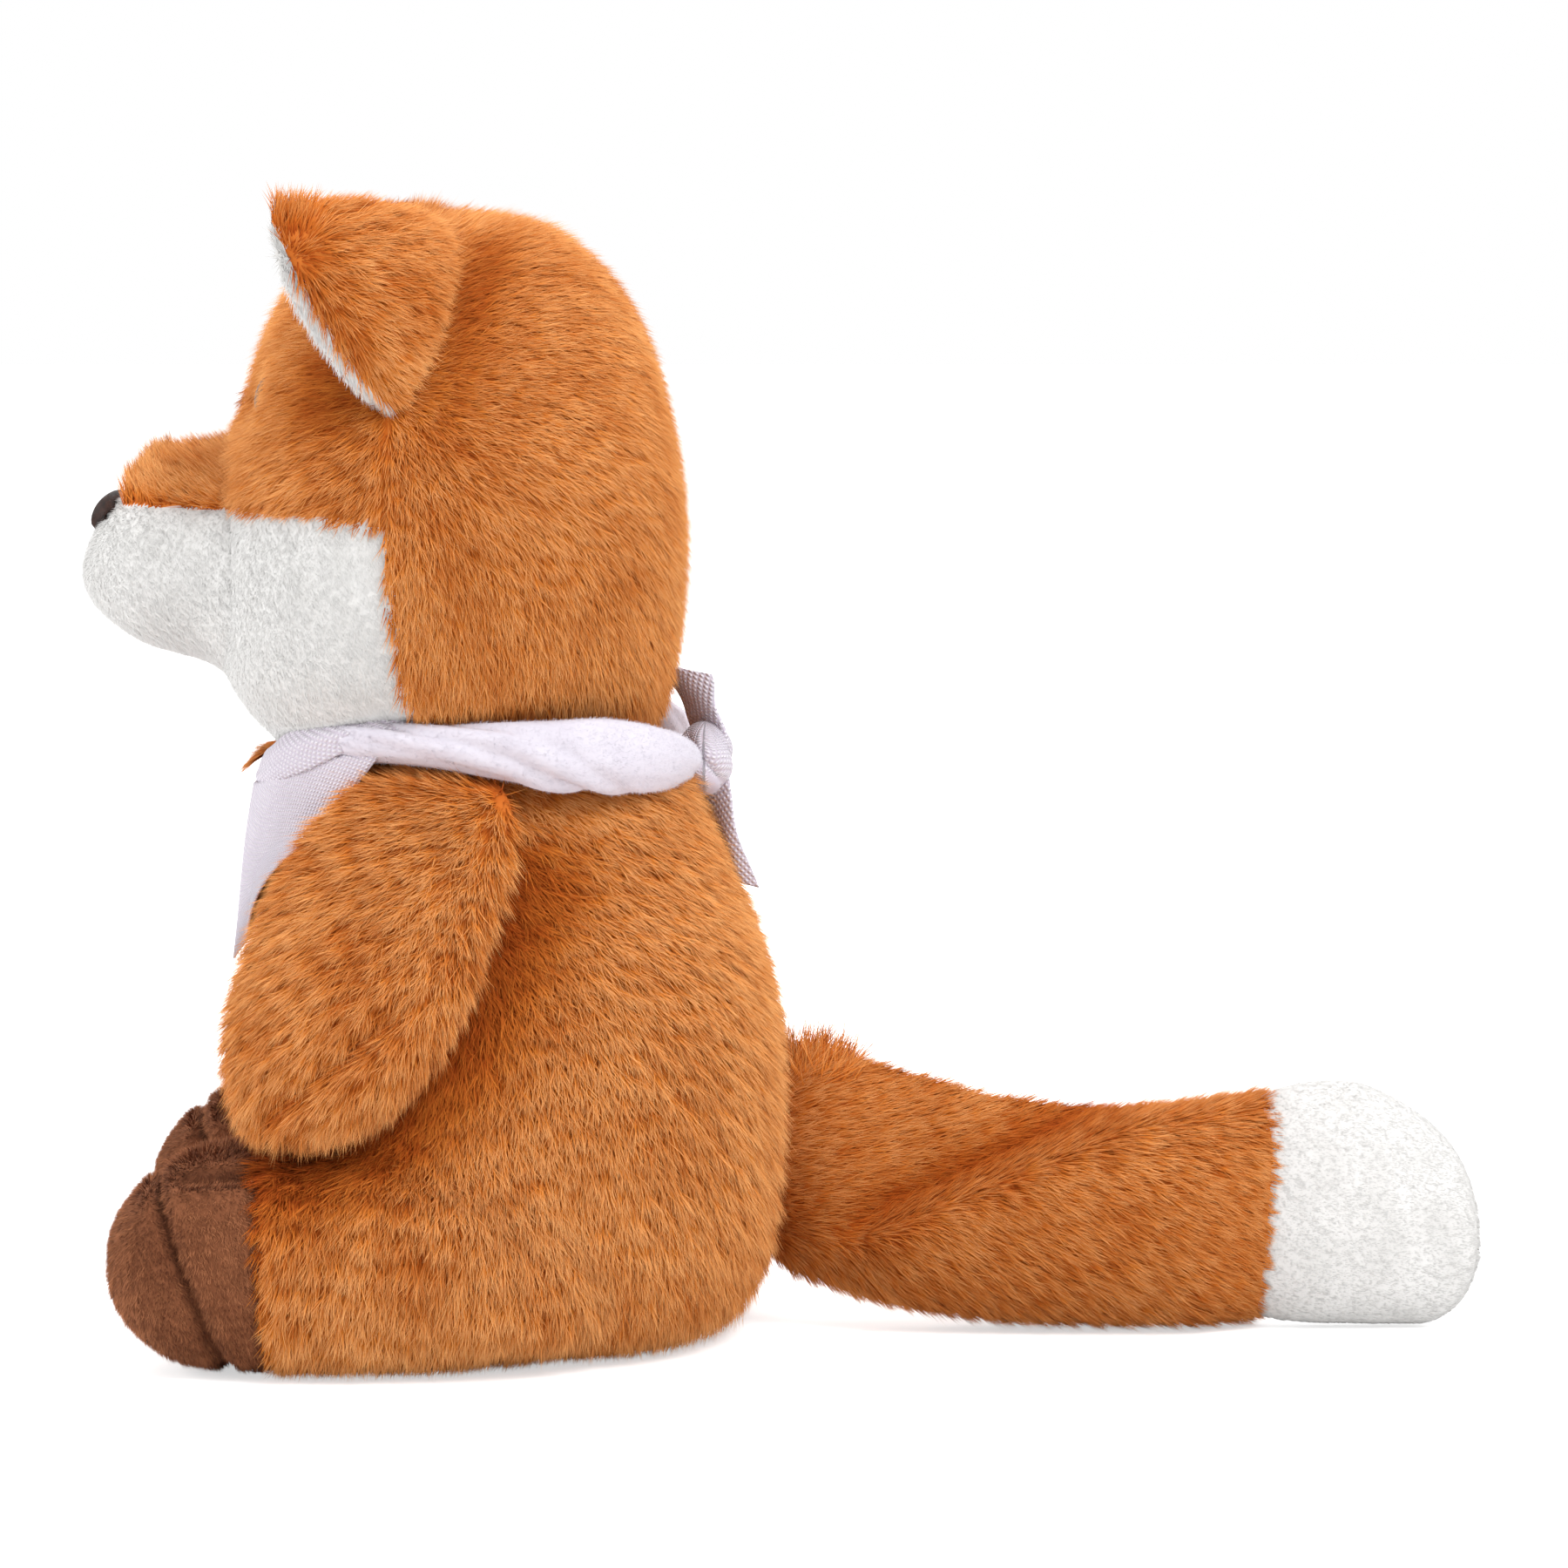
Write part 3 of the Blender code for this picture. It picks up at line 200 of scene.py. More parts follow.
# %% Waves that gather the tips
def waves(points, length, seed, count=14):
    """Sum of plane waves of about one length in random directions: its value and its gradient."""
    draw = np.random.default_rng(seed)
    pushes = unit(draw.normal(size=(count, 3))) * (2 * math.pi / length) * draw.uniform(0.7, 1.35, (count, 1))
    phase = points @ pushes.T + draw.uniform(0, 2 * math.pi, count)
    scale = math.sqrt(2 / count)
    return np.cos(phase).sum(1) * scale, -(np.sin(phase) @ pushes) * scale * length / (2 * math.pi)


# %% Kinds of pile
# per_mm2 is hairs on a square millimetre, length and width are in millimetres, rise is degrees
# above the cloth, stray is how far a hair leaves the nap, and gather is how far a tip moves to its
# lock, whose size is lock. tone shifts a panel's hairs towards the dull colours below zero, or the
# lively ones above, and noise is how much the hairs of one panel differ.
LONG_PILE = dict(per_mm2=8.6, length=5.2, width=0.25, rise=27, stray=0.25, gather=1.05, lock=3.0,
                 tone=-0.04, noise=1.0)
BODY_PILE = dict(LONG_PILE, per_mm2=8.0, width=0.29, length=5.6, tone=0.22)
ARM_PILE = dict(LONG_PILE, length=5.3, tone=0.13)
INNER_ARM_PILE = dict(ARM_PILE, per_mm2=3.0, length=4.5)
THROAT_PILE = dict(LONG_PILE, per_mm2=20, length=5.6, rise=9, stray=0.3, gather=1.0, tone=0.0)
BRIDGE_PILE = dict(LONG_PILE, per_mm2=12.0, length=4.9, rise=45, tone=0.10)
EAR_PILE = dict(LONG_PILE, per_mm2=9.0, length=4.8, rise=24)
HEAD_PILE = dict(LONG_PILE, per_mm2=9.0, width=0.23, length=4.7, gather=0.8, lock=2.4, tone=0.08)
TAIL_PILE = dict(LONG_PILE, length=5.2, rise=21, stray=0.17, gather=0.7, tone=-0.10, noise=0.8)
ROOT_PILE = dict(LONG_PILE, per_mm2=5, length=7.5, rise=60, stray=0.4, gather=1.4, tone=-0.05)
SHORT_PILE = dict(per_mm2=13.0, length=1.25, width=0.19, rise=23, stray=0.40, gather=0.05, lock=2.0,
                  tone=0.0, noise=0.28)
LINING_PILE = dict(SHORT_PILE, length=2.2)
SEAT_PILE = dict(SHORT_PILE, per_mm2=1.5, length=0.2)
TIP_PILE = dict(SHORT_PILE, per_mm2=9.0, width=0.28, length=1.3, rise=8, stray=0.15, tone=-0.42, noise=0.15)
FOOT_PILE = dict(per_mm2=11.0, length=1.6, width=0.20, rise=32, stray=0.45, gather=0.25, lock=2.0,
                 tone=0.0, noise=1.15)
BRUSHED_PILE = dict(per_mm2=9.0, length=0.75, width=0.13, rise=35, stray=0.9, gather=0.1, lock=1.5,
                    tone=0.0, noise=0.5)

# %% Numbers that all hairs share
FLOOR_GAP = 0.25  # mm that every tip stays above the floor
ROOT_DEPTH = 0.3  # mm that a hair starts under the cloth
RIDGE = 0.45  # height of a lock's ridge, as a share of its width
WEAK_NAP = 0.5  # below this the hairs stand up, as at a parting
PARTING_RISE = 45  # degrees that they rise there
SPREAD = 0.16  # how far the shading and the tone of single hairs differ
PATCH_SEED, STREAK_SEED = 5, 6  # large and small clouds of tone, the same on all panels


def roots_on(draw, points, faces, per_mm2):
    """Roots spread by area: the corners of each root's face, and its share of each corner."""
    corner = points[faces]
    area = np.linalg.norm(np.cross(corner[:, 1] - corner[:, 0], corner[:, 2] - corner[:, 0]), axis=1) / 2
    count = int(area.sum() * per_mm2 * (1.0))
    number = np.searchsorted(np.cumsum(area) / area.sum(), draw.random(count)).clip(0, len(faces) - 1)
    first, second = np.sqrt(draw.random((count, 1))), draw.random((count, 1))
    return faces[number], np.stack([1 - first, first * (1 - second), first * second], axis=1)


def grow(points, outward, nap, deep, trim, faces, pile, seed):
    """Hairs on triangles: tips at root + length (cos rise nap + sin rise normal) plus a stray part and
    a pull towards the nearest crest of the waves. deep is painted shade: where it is one, the hairs'
    tone is pulled towards the dull colours and their tips take nearly the dark root colour. trim is the
    share of its length that the pile has at each place. Where the projected nap is weak the hairs rise more."""
    draw = np.random.default_rng(seed)
    face, share = roots_on(draw, points, faces, pile["per_mm2"])
    count = len(face)
    root, normal, lay = ((field[face] * share).sum(axis=1) for field in (points, outward, nap))
    painted_shade, left = ((field[face] * share[..., 0]).sum(axis=1) for field in (deep, trim))
    normal = unit(normal)
    lay = lay - normal * dot(lay, normal)
    parted = 1 - np.clip(np.linalg.norm(lay, axis=1, keepdims=True) / WEAK_NAP, 0, 1)
    lay = unit(lay)
    side = np.cross(normal, lay)
    crest, pull = waves(root, pile["lock"], seed + 1)
    swell = 1 + 0.10 * crest[:, None]
    length = pile["length"] * left[:, None] * draw.uniform(0.72, 1.12, (count, 1)) * swell
    rise = np.radians(pile["rise"]) * draw.uniform(0.55, 1.45, (count, 1))
    rise = rise + np.radians(PARTING_RISE) * parted
    way = np.cos(rise) * lay + np.sin(rise) * normal + side * draw.normal(0, pile["stray"], (count, 1))
    tip = root + length * unit(way) + pile["gather"] * (pull - normal * dot(pull, normal))
    tip[:, 2] = np.maximum(tip[:, 2], FLOOR_GAP)
    way = unit(tip - root)
    side = unit(np.cross(way, normal))
    half = side * pile["width"] / 2 * draw.uniform(0.75, 1.25, (count, 1))
    ridge = np.cross(side, way)
    ridge = ridge * np.sign(dot(ridge, normal))
    base = root - normal * ROOT_DEPTH
    corners = np.stack([base - half, base + ridge * pile["width"] * RIDGE, base + half, tip], axis=1)
    aside = side * draw.normal(0, SPREAD * pile["noise"], (count, 1))
    bright = unit(normal - way * dot(normal, way) * 0.6 + aside)
    tilt = unit(np.stack([bright - side * 0.25, bright, bright + side * 0.25, bright], axis=1))
    # Painted shade: deep lowers the tone by 0.55 and pulls the tips towards the dark root colour.
    tone = tone_of(draw, root, crest, pile) - 0.55 * painted_shade
    along = np.zeros((count, 4))
    along[:, 3] = 1 - 0.8 * painted_shade
    return dict(points=corners.reshape(-1, 3), normals=tilt.reshape(-1, 3), faces=roofs(corners, normal),
                tone=np.repeat(tone.clip(0.02, 0.98), 4), along=along.ravel(),
                edge=np.tile([-1.0, 0.0, 1.0, 0.0], count))


def tone_of(draw, root, crest, pile):
    """Tone of each hair: the panel's own, plus crests, clouds 17 mm long, streaks 6.5 mm long and chance."""
    patch, _ = waves(root, 17.0, PATCH_SEED)
    streak, _ = waves(root, 6.5, STREAK_SEED)
    chance = draw.normal(0, SPREAD, len(root))
    return 0.5 + pile["tone"] + pile["noise"] * (0.14 * crest + 0.10 * patch + 0.07 * streak + chance)


def roofs(corners, normal):
    """Two triangles for each lock, from its two eaves to the ridge and the tip, turned outward."""
    start = np.arange(len(corners))[:, None] * 4
    made = np.concatenate([start + np.array([[0, 1, 3]]), start + np.array([[1, 2, 3]])])
    facing = np.cross(corners[:, 1] - corners[:, 0], corners[:, 3] - corners[:, 0])
    turned = np.tile((facing * normal).sum(1) < 0, 2)
    made[turned] = made[turned][:, ::-1]
    return made


# %% [markdown]
# A panel of the toy becomes one object: its cloth and its pile share a mesh and a material. The
# material reads two numbers stored on the points. One is the tone of the hair, the other is
# how far along the hair a point is, because real pile is deep and dark at the root and pale at the tip.


# %% Store cloth and pile in one object
def placed(name, data):
    """A new object in the scene."""
    made = bpy.data.objects.new(name, data)
    bpy.context.collection.objects.link(made)
    return made


def store(name, points, outward, faces, tone, along, edge, surface):
    """One mesh of triangles, with its normals, its two pile numbers and a UV map of the same numbers."""
    mesh = bpy.data.meshes.new(name)
    mesh.vertices.add(len(points))
    mesh.vertices.foreach_set("co", (points * MM).astype(np.float32).ravel())
    mesh.loops.add(faces.size)
    mesh.loops.foreach_set("vertex_index", faces.astype(np.int32).ravel())
    mesh.polygons.add(len(faces))
    mesh.polygons.foreach_set("loop_start", np.arange(0, faces.size, 3, dtype=np.int32))
    mesh.update(calc_edges=True)
    for word, values in (("tone", tone), ("along", along)):
        field = mesh.attributes.new(word, "FLOAT", "POINT")
        field.data.foreach_set("value", values.astype(np.float32))
    layer = mesh.uv_layers.new(name="OFBake")
    flat = np.stack([tone + 0.004 * edge, 0.01 + 0.98 * along], axis=1)[faces.ravel()]
    layer.uv.foreach_set("vector", flat.astype(np.float32).ravel())
    mesh.shade_smooth()
    mesh.normals_split_custom_set_from_vertices(outward.astype(np.float32))
    mesh.materials.append(surface)
    return placed(name, mesh)


def turned_outward(points, faces, outward):
    """Triangles whose corners run round the outward normal."""
    facing = np.cross(points[faces[:, 1]] - points[faces[:, 0]], points[faces[:, 2]] - points[faces[:, 0]])
    wrong = (facing * outward[faces[:, 0]]).sum(1) < 0
    return np.where(wrong[:, None], faces[:, ::-1], faces)


def cloth_and_pile(name, points, outward, nap, faces, pile, surface, seed,
                   hairless=None, deep=None, trim=None):
    """The cloth's own points first, then the hairs. hairless tests for bare places; deep, the painted
    shade, and trim are functions of the points."""
    bearing = faces if hairless is None else faces[~hairless(points[faces].mean(axis=1))]
    painted_shade = np.zeros(len(points)) if deep is None else deep(points)
    left = np.ones(len(points)) if trim is None else trim(points)
    hair = grow(points, outward, nap, painted_shade, left, bearing, pile, seed)
    used, again = np.unique(faces, return_inverse=True)
    cloth = points[used]
    patch, _ = waves(cloth, 9.0, PATCH_SEED)
    size = len(used)
    # The cloth under the hairs takes the painted shade too, by a lower along value.
    made = store(name, np.concatenate([cloth, hair["points"]]),
                 np.concatenate([outward[used], hair["normals"]]),
                 np.concatenate([again.reshape(-1, 3), hair["faces"] + size]),
                 np.concatenate([(0.4 + 0.1 * patch).clip(0, 1), hair["tone"]]),
                 np.concatenate([0.5 - 0.45 * painted_shade[used], hair["along"]]),
                 np.concatenate([np.zeros(size), hair["edge"]]), surface)
    print(f"{name}: {len(hair['along']) // 4} hairs, {len(made.data.polygons)} triangles")
    return made


def panel(name, form, nap, keep, pile, surface, seed, **fields):
    """Cloth cells of a form that a test of their middles keeps, with pile grown on them."""
    points, outward = form.reshape(-1, 3), normals(form).reshape(-1, 3)
    faces = triangles_of(form.shape[0], form.shape[1], closed=True)
    faces = faces[keep(points[faces].mean(axis=1))]
    corner = points[faces]
    area = np.cross(corner[:, 1] - corner[:, 0], corner[:, 2] - corner[:, 0])
    faces = turned_outward(points, faces[np.linalg.norm(area, axis=1) > 1e-7], outward)
    return cloth_and_pile(name, points, outward, nap(points, outward), faces, pile, surface, seed, **fields)


def steady(*way):
    """A nap that points one way all over a panel."""
    return lambda points, outward: np.tile(way, (len(points), 1))


def anywhere(middle):
    """True for every cell."""
    return np.full(len(middle), True)


def half_of(test, sign):
    """The same test for one side of the toy only."""
    return lambda middle: test(middle) & (middle[:, 0] * sign >= 0)


# %% [markdown]
# Colours are written as the hex values that a picture shows, and one function turns them to the
# linear light that the shader works in. One function adds a node with its settings and links.

# %% Colour and node helpers
FIRST_COLOUR, SECOND_COLOUR, MIXED_COLOUR = 6, 7, 2  # sockets of Blender's Mix node for colours
POLYESTER_INDEX = 1.57


def linear(code):
    """sRGB hex to linear: ((c + 0.055) / 1.055) ^ 2.4, or c / 12.92 where c is small."""
    parts = [int(code[place:place + 2], 16) / 255 for place in (1, 3, 5)]
    return tuple(c / 12.92 if c <= 0.04045 else ((c + 0.055) / 1.055) ** 2.4 for c in parts) + (1.0,)


def settle(made, **values):
    """Constant numbers on a node's inputs, whose names have _ for a space."""
    for name, value in values.items():
        made.inputs[name.replace("_", " ")].default_value = value


def node(tree, kind, links=None, stops=(), **settings):
    """Adds one node. Settings that name an input set it, others set the node; links name an input's
    source. stops are the places and hex colours of a colour ramp."""
    made = tree.nodes.new(kind)
    for name, value in settings.items():
        if hasattr(made, name):
            setattr(made, name, value)
        else:
            settle(made, **{name: value})
    for name, source in (links or {}).items():
        tree.links.new(source, made.inputs[name])
    while stops and len(made.color_ramp.elements) < len(stops):
        made.color_ramp.elements.new(0.5)
    for number, (place, code) in enumerate(stops):
        made.color_ramp.elements[number].position = place
        made.color_ramp.elements[number].color = linear(code)
    return made


def blank(name):
    """A material with only its Principled shader and its output."""
    made = bpy.data.materials.new(name)
    made.use_nodes = True
    return made, made.node_tree, made.node_tree.nodes["Principled BSDF"]


# %% [markdown]
# Polyester plush: drawn, dyed fibres about 0.02 mm thick, brushed and sheared. One fibre is far
# too fine to show, so a hair here is a lock of them. It is rough, has the IOR of polyester, 1.57,
# with little gloss, and a faint sheen where light grazes the tips.


# %% Plush materials
def plush(name, dull, lively, roughness, sheen, tint):
    """Two colour ramps from root to tip, one for dull hairs and one for lively ones, mixed by tone."""
    made, tree, shader = blank(name)
    along, tone = (node(tree, "ShaderNodeAttribute", attribute_name=word).outputs["Fac"]
                   for word in ("along", "tone"))
    low, high = (node(tree, "ShaderNodeValToRGB", {"Fac": along}, stops).outputs["Color"]
                 for stops in (dull, lively))
    mixed = node(tree, "ShaderNodeMix", {0: tone, FIRST_COLOUR: low, SECOND_COLOUR: high}, data_type="RGBA")
    tree.links.new(mixed.outputs[MIXED_COLOUR], shader.inputs["Base Color"])
    settle(shader, Roughness=roughness, IOR=POLYESTER_INDEX, Specular_IOR_Level=0.15, Sheen_Weight=sheen,
           Sheen_Roughness=0.5, Sheen_Tint=linear(tint))
    return made


# Burnt orange at the roots and pale apricot at the tips, so that locks and partings show.
orange_plush = plush("orange_long_pile_plush",
                     ((0.0, "#943A08"), (0.45, "#B85410"), (1.0, "#CA7428")),
                     ((0.0, "#BE5A12"), (0.45, "#E08632"), (1.0, "#F8BC7C")), 0.85, 0.1, "#FFB870")
# A warm white whose shorn pile shows only as a fine grain.
white_plush = plush("white_short_pile_plush",
                    ((0.0, "#CAC8C5"), (1.0, "#D6D5D3")), ((0.0, "#DCDBD9"), (1.0, "#F0EFEE")),
                    0.95, 0.1, "#FFFFFF")
# Dark brown with reddish tips, which give the feet their dusty look.
brown_plush = plush("brown_short_pile_plush",
                    ((0.0, "#3F2113"), (1.0, "#7E472C")), ((0.0, "#633721"), (1.0, "#C27E56")),
                    0.9, 0.1, "#C9A68C")

# %% [markdown]
# The trunk is the biggest form: flat where it sits, full at the hips and narrow at the neck. The
# slices are measured from the photographed outline, less the thickness of the lying pile. Beside
# and under the arm the pile is given painted shade, dark as if the arm kept the light off it.

# %% Slices of trunk, leg and arm
# Trunk: height, front y, back y, half width, seam y.
TRUNK = ((0.5, 0, 0, 0, 0), (0.4, -14, 12, 14, 0), (0.5, -27, 22, 24, 0), (2.2, -35, 31, 33.5, 0),
         (8, -39.5, 38, 42.5, 0), (18, -41.3, 42, 46.8, 0), (30, -42, 43.4, 48, 0), (42, -42, 43.6, 47.6, 0),
         (54, -41.8, 42.2, 45.8, 0), (66, -41.2, 39.2, 42, 0), (77, -40.2, 34.8, 37.4, 0),
         (88, -39, 30.4, 33.8, 0), (95.6, -37.2, 26.8, 31.6, 0), (98.8, -32, 20, 26, 0),
         (99.2, -14, 8, 12, 0), (99.2, 0, 0, 0, 0))
# The trunk's slices that rise, without the turned-in ones at seat and neck.
TRUNK_SIDES = np.array(TRUNK)[3:14]
TRUNK_POWER = 2.35
# Leg: y, top, bottom, half width, middle x.
LEG = ((18, 19, 15, 2, 33), (9, 27, 7, 9.5, 34.6), (-2, 32, 3, 14, 35.4), (-13, 35, 1, 17, 35.8),
       (-26, 36.2, 0.6, 18.6, 36), (-38, 36.8, 0.5, 18.9, 36), (-47.5, 36.4, 0.8, 18.6, 36),
       (-55, 33.8, 2.6, 17.2, 36), (-60.8, 29, 7, 13.8, 36), (-64.2, 23.4, 12.4, 7.8, 36),
       (-65, 17.6, 17.6, 0, 36))
# Arm: height, front y, back y, thickness.
ARM = ((98.5, -12, -12, 1), (97.6, -22, -3.6, 4.5), (92.4, -27.6, 0.8, 7.6), (85, -33.4, 0, 10.6),
       (76, -38.4, -2.4, 13.4), (65, -42.6, -5.8, 15), (56.5, -44.6, -10, 15.2), (50, -44.6, -14.8, 14.6),
       (44.6, -43.4, -20.2, 12.8), (41, -41.8, -26.6, 9.6), (39, -40, -32, 5.6), (38.2, -37.4, -37.4, 0))
FILLET_REACH = 8.5


def painted_shade_beside_arm(points):
    """Painted shade beside the arm: one under the arm's outline in the side view, and a bell of the
    distance to it outside. Nothing at the shoulder, where the arm grows out of the trunk."""
    z, front, back, _ = smooth(60, ARM).T
    outline = np.concatenate([np.stack([front, z], axis=1), np.stack([back, z], axis=1)])
    away = np.linalg.norm(points[:, None, 1:] - outline[None], axis=2).min(axis=1)
    order = np.argsort(z)
    front_here, back_here = (np.interp(points[:, 2], z[order], side[order]) for side in (front, back))
    under = (points[:, 1] > front_here) & (points[:, 1] < back_here) & (points[:, 2] > z.min())
    dark = np.where(under, 1.0, bell(away, 9.5))
    return dark * ease(np.abs(points[:, 0]), 16, 34) * (1 - ease(points[:, 2], 80, 94))


def beyond(across, along, reach_across, reach_along, power):
    """How far outside a superellipse a point is: its distance from the middle times 1 - 1 / value."""
    tiny = 1e-3
    value = ((np.abs(across) / np.maximum(reach_across, tiny)) ** power
             + (np.abs(along) / np.maximum(reach_along, tiny)) ** power) ** (1 / power)
    return np.hypot(across, along) * (1 - 1 / np.maximum(value, tiny))


def outside_leg(form):
    """Distance of each point from the nearer leg."""
    y, top, bottom, wide, middle = smooth(80, LEG).T[:, ::-1]
    at = form[..., 1]
    high, low, half, centre = (np.interp(at, y, column) for column in (top, bottom, wide, middle))
    return beyond(np.abs(form[..., 0]) - centre, form[..., 2] - (high + low) / 2, half, (high - low) / 2, 2.5)


def outside_trunk(form):
    """Distance of each point from the trunk."""
    z, front, back, wide, _ = smooth(80, TRUNK_SIDES).T
    at = form[..., 2]
    depth = np.where(form[..., 1] < 0, -np.interp(at, z, front), np.interp(at, z, back))
    return beyond(form[..., 0], form[..., 1], np.interp(at, z, wide), depth, TRUNK_POWER)


def filleted(form, gap, swell):
    """Two forms that meet get a soft hollow: each swells along its normals by a bell of its gap."""
    return form + normals(form) * (swell * bell(np.maximum(gap, 0), FILLET_REACH))[..., None]


# %% Trunk
def trunk_form():
    """The trunk, which swells by up to 4.2 mm where the legs grow out of it."""
    form = upright(TRUNK, TRUNK_POWER, 96, 184)
    return filleted(form, outside_leg(form), 4.2 * ease(form[..., 2], 2, 12) * ease(-form[..., 1], -14, 4))


def trunk_nap(points, outward):
    """Down the trunk, and backwards as well between shoulder and hip, as the photo shows."""
    y, z = points[:, 1], points[:, 2]
    back = 0.95 * ease(z, 40, 92) * ease(y, -25, 5) - 0.16 * ease(-y, 0, 30)
    return np.stack([0 * y, back, -np.ones_like(y)], axis=1)


def is_seat(middle):
    """Under the height at which the trunk turns in to its flat seat."""
    return middle[:, 2] < 0.9


trunk = trunk_form()
print("trunk:", trunk.shape, "points, lowest", round(float(trunk[..., 2].min()), 2), "mm")
# The trunk's panels are given painted shade beside and under the arm.
for word, seed, keep in (
        ("body_front", 11, lambda m: (m[:, 1] < 0) & ~is_seat(m)),
        ("body_side_left", 12, lambda m: (m[:, 1] >= 0) & (m[:, 0] >= 0) & ~is_seat(m)),
        ("body_side_right", 13, lambda m: (m[:, 1] >= 0) & (m[:, 0] < 0) & ~is_seat(m))):
    piece = panel(f"plush_{word}", trunk, trunk_nap, keep, BODY_PILE, orange_plush, seed, deep=painted_shade_beside_arm)
    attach(piece, "torso")
    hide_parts(word)
seat = panel("plush_seat", trunk, trunk_nap, is_seat, SEAT_PILE, orange_plush, 14)
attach(seat, "torso")
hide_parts("seat_panel", "body_stuffing")

# %% [markdown]
# Under the chin the band pushes a pinch of the chest's pile up and out over its edge, as the photo
# shows. It grows from a small patch of its own that lies over the band's edge, and hangs in front.

# %% Tuft at the throat
THROAT_BACK, THROAT_RUN, THROAT_TOP, THROAT_HALF = -38.0, 4.6, 98.9, 5


def throat_tuft():
    """A patch 10 mm wide, from y -38 forwards for 4.6 mm. Its height falls by half the square of the way,
    and rises by 0.7 times the square of the distance from the middle, as the band's edge does."""
    share, across = np.meshgrid(np.linspace(0, 1, 6), np.linspace(-1, 1, 12), indexing="ij")
    height = THROAT_TOP - 0.5 * share**2 + 0.7 * across**2
    points = np.stack([THROAT_HALF * across, THROAT_BACK - THROAT_RUN * share, height], axis=-1)
    points = points.reshape(-1, 3)
    ahead = (THROAT_BACK - points[:, 1]) / THROAT_RUN
    up = unit(np.stack([0 * ahead, -0.1 - 1.3 * ahead, 1 + 0 * ahead], axis=1))
    nap = unit(np.stack([points[:, 0] * 0.05, -1 + 0 * ahead, -1.4 * ahead], axis=1))
    faces = turned_outward(points, triangles_of(6, 12, closed=False), up)
    return cloth_and_pile("plush_throat_tuft", points, up, nap, faces, THROAT_PILE, orange_plush, 15)


tuft = throat_tuft()
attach(tuft, "torso")

# %% [markdown]
# The head is six panels on one stuffed form. The two backs and the two upper faces are orange,
# the cheeks are white. The washers behind the eyes pull two hollows into the face.

# %% Form and seams of the head
# Slices: height, front y, back y, half width, seam y.
HEAD = ((99.4, -12, -12, 0, -12), (99.4, -28, 8, 16, -14), (99.8, -38, 18.4, 26, -16),
        (102.4, -41.4, 21.4, 31.4, -17), (107, -45.4, 23.8, 37.4, -17), (114, -48.8, 25.4, 43.2, -17),
        (125, -50.2, 26.6, 47, -17), (136, -49.6, 26.8, 48, -17), (147, -46.9, 25.7, 47, -17),
        (157, -43.6, 23.6, 43.8, -17), (166, -40.4, 20.8, 39, -16.6), (174, -36.4, 16.6, 33, -16),
        (181, -30.2, 10.2, 24.4, -14.6), (185.6, -22.6, 1.8, 13.6, -13), (187.3, -12, -12, 0, -12))
EYE_SOCKET = np.array([17.5, -42.5, 157.6])
EAR_ROOT = np.array([46.0, -18.0, 157.0])
EAR_SHADE = np.array([44.0, -26.0, 162.0])
EAR_FOLD = np.array([24.0, -5.5, 182.0]), np.array([46.5, -12.0, 158.0])
CHEEK_TOP = 138.6
FACE_SEAM = -17.0


def head_form():
    """The head, pulled in by a bell of 3.2 mm depth and 6.5 mm reach at each eye."""
    form = upright(HEAD, 2.3, 100, 184)
    away = np.linalg.norm(form - both_sides(EYE_SOCKET, form), axis=-1, keepdims=True)
    return form + bell(away, 6.5) * np.array([0.0, 3.2, 0.0])


def is_back(middle):
    """The seam from ear to neck slants back below the cheek's middle, by a curve of the power 1.6."""
    low = np.maximum(131 - middle[:, 2], 0) / 28
    return middle[:, 1] > FACE_SEAM - 1.2 + 4.4 * low ** 1.6


def above_cheek(middle):
    """Height over the cheek's upper seam, which dips towards the back of the head."""
    return middle[:, 2] - CHEEK_TOP - 0.07 * (FACE_SEAM - middle[:, 1])


def is_cheek(middle):
    """In front of the back panels and under the upper seam."""
    return ~is_back(middle) & (above_cheek(middle) < 0)


def is_face(middle):
    """In front of the back panels and over the cheek's seam."""
    return ~is_back(middle) & ~is_cheek(middle)


def at_eye(middle):
    """Bare cloth under the two eyes, 3.4 mm round each."""
    near = np.stack([np.abs(middle[:, 0]), middle[:, 2]], axis=1) - EYE_SOCKET[[0, 2]]
    return (np.linalg.norm(near, axis=1) < 3.4) & (middle[:, 1] < -30)


# %% [markdown]
# The nap of the head runs away from the ears' roots and falls at the seam below each ear. Where the
# naps of face and back part, on the crown, it stands. In the fold behind each ear and on the face
# below it the pile is given painted shade.


# %% Nap and shade of the head
def from_root(points, place, reach):
    """Away from one place on either side: weak within 4 mm of it, so that no bare spot opens, and fading
    over a distance."""
    away = points - both_sides(place, points)
    span = np.linalg.norm(away, axis=1, keepdims=True)
    return away / (span + 4.0) * np.exp(-span / reach)


def parting(past, z):
    """How freely the pile leaves the seam of face and back, and how much it falls instead: below the ear
    it falls, at the ear it is free, and on the crown it is weak over 9 mm, so that it stands."""
    side = 0.25 + 0.75 * np.maximum(ease(past, 0, 13), ease(z, 152, 164))
    crown = ease(z, 166, 176)
    away = side * (1 - crown) + crown * (0.1 + 0.9 * ease(past, 0, 9))
    return away[:, None], (1 - side)[:, None]


def back_nap(points, outward):
    """Backwards over the crown, down the back, and away from the ear's root."""
    y, z = points[:, 1], points[:, 2]
    high = ease(z, 112, 180)
    away, down = parting(y - FACE_SEAM, z)
    fan = np.stack([0 * z, 1.1 * high, -1 + 0.85 * high], axis=1)
    return (fan + 0.7 * from_root(points, EAR_ROOT, 16)) * away - down * np.array([0.0, 0.0, 0.8])


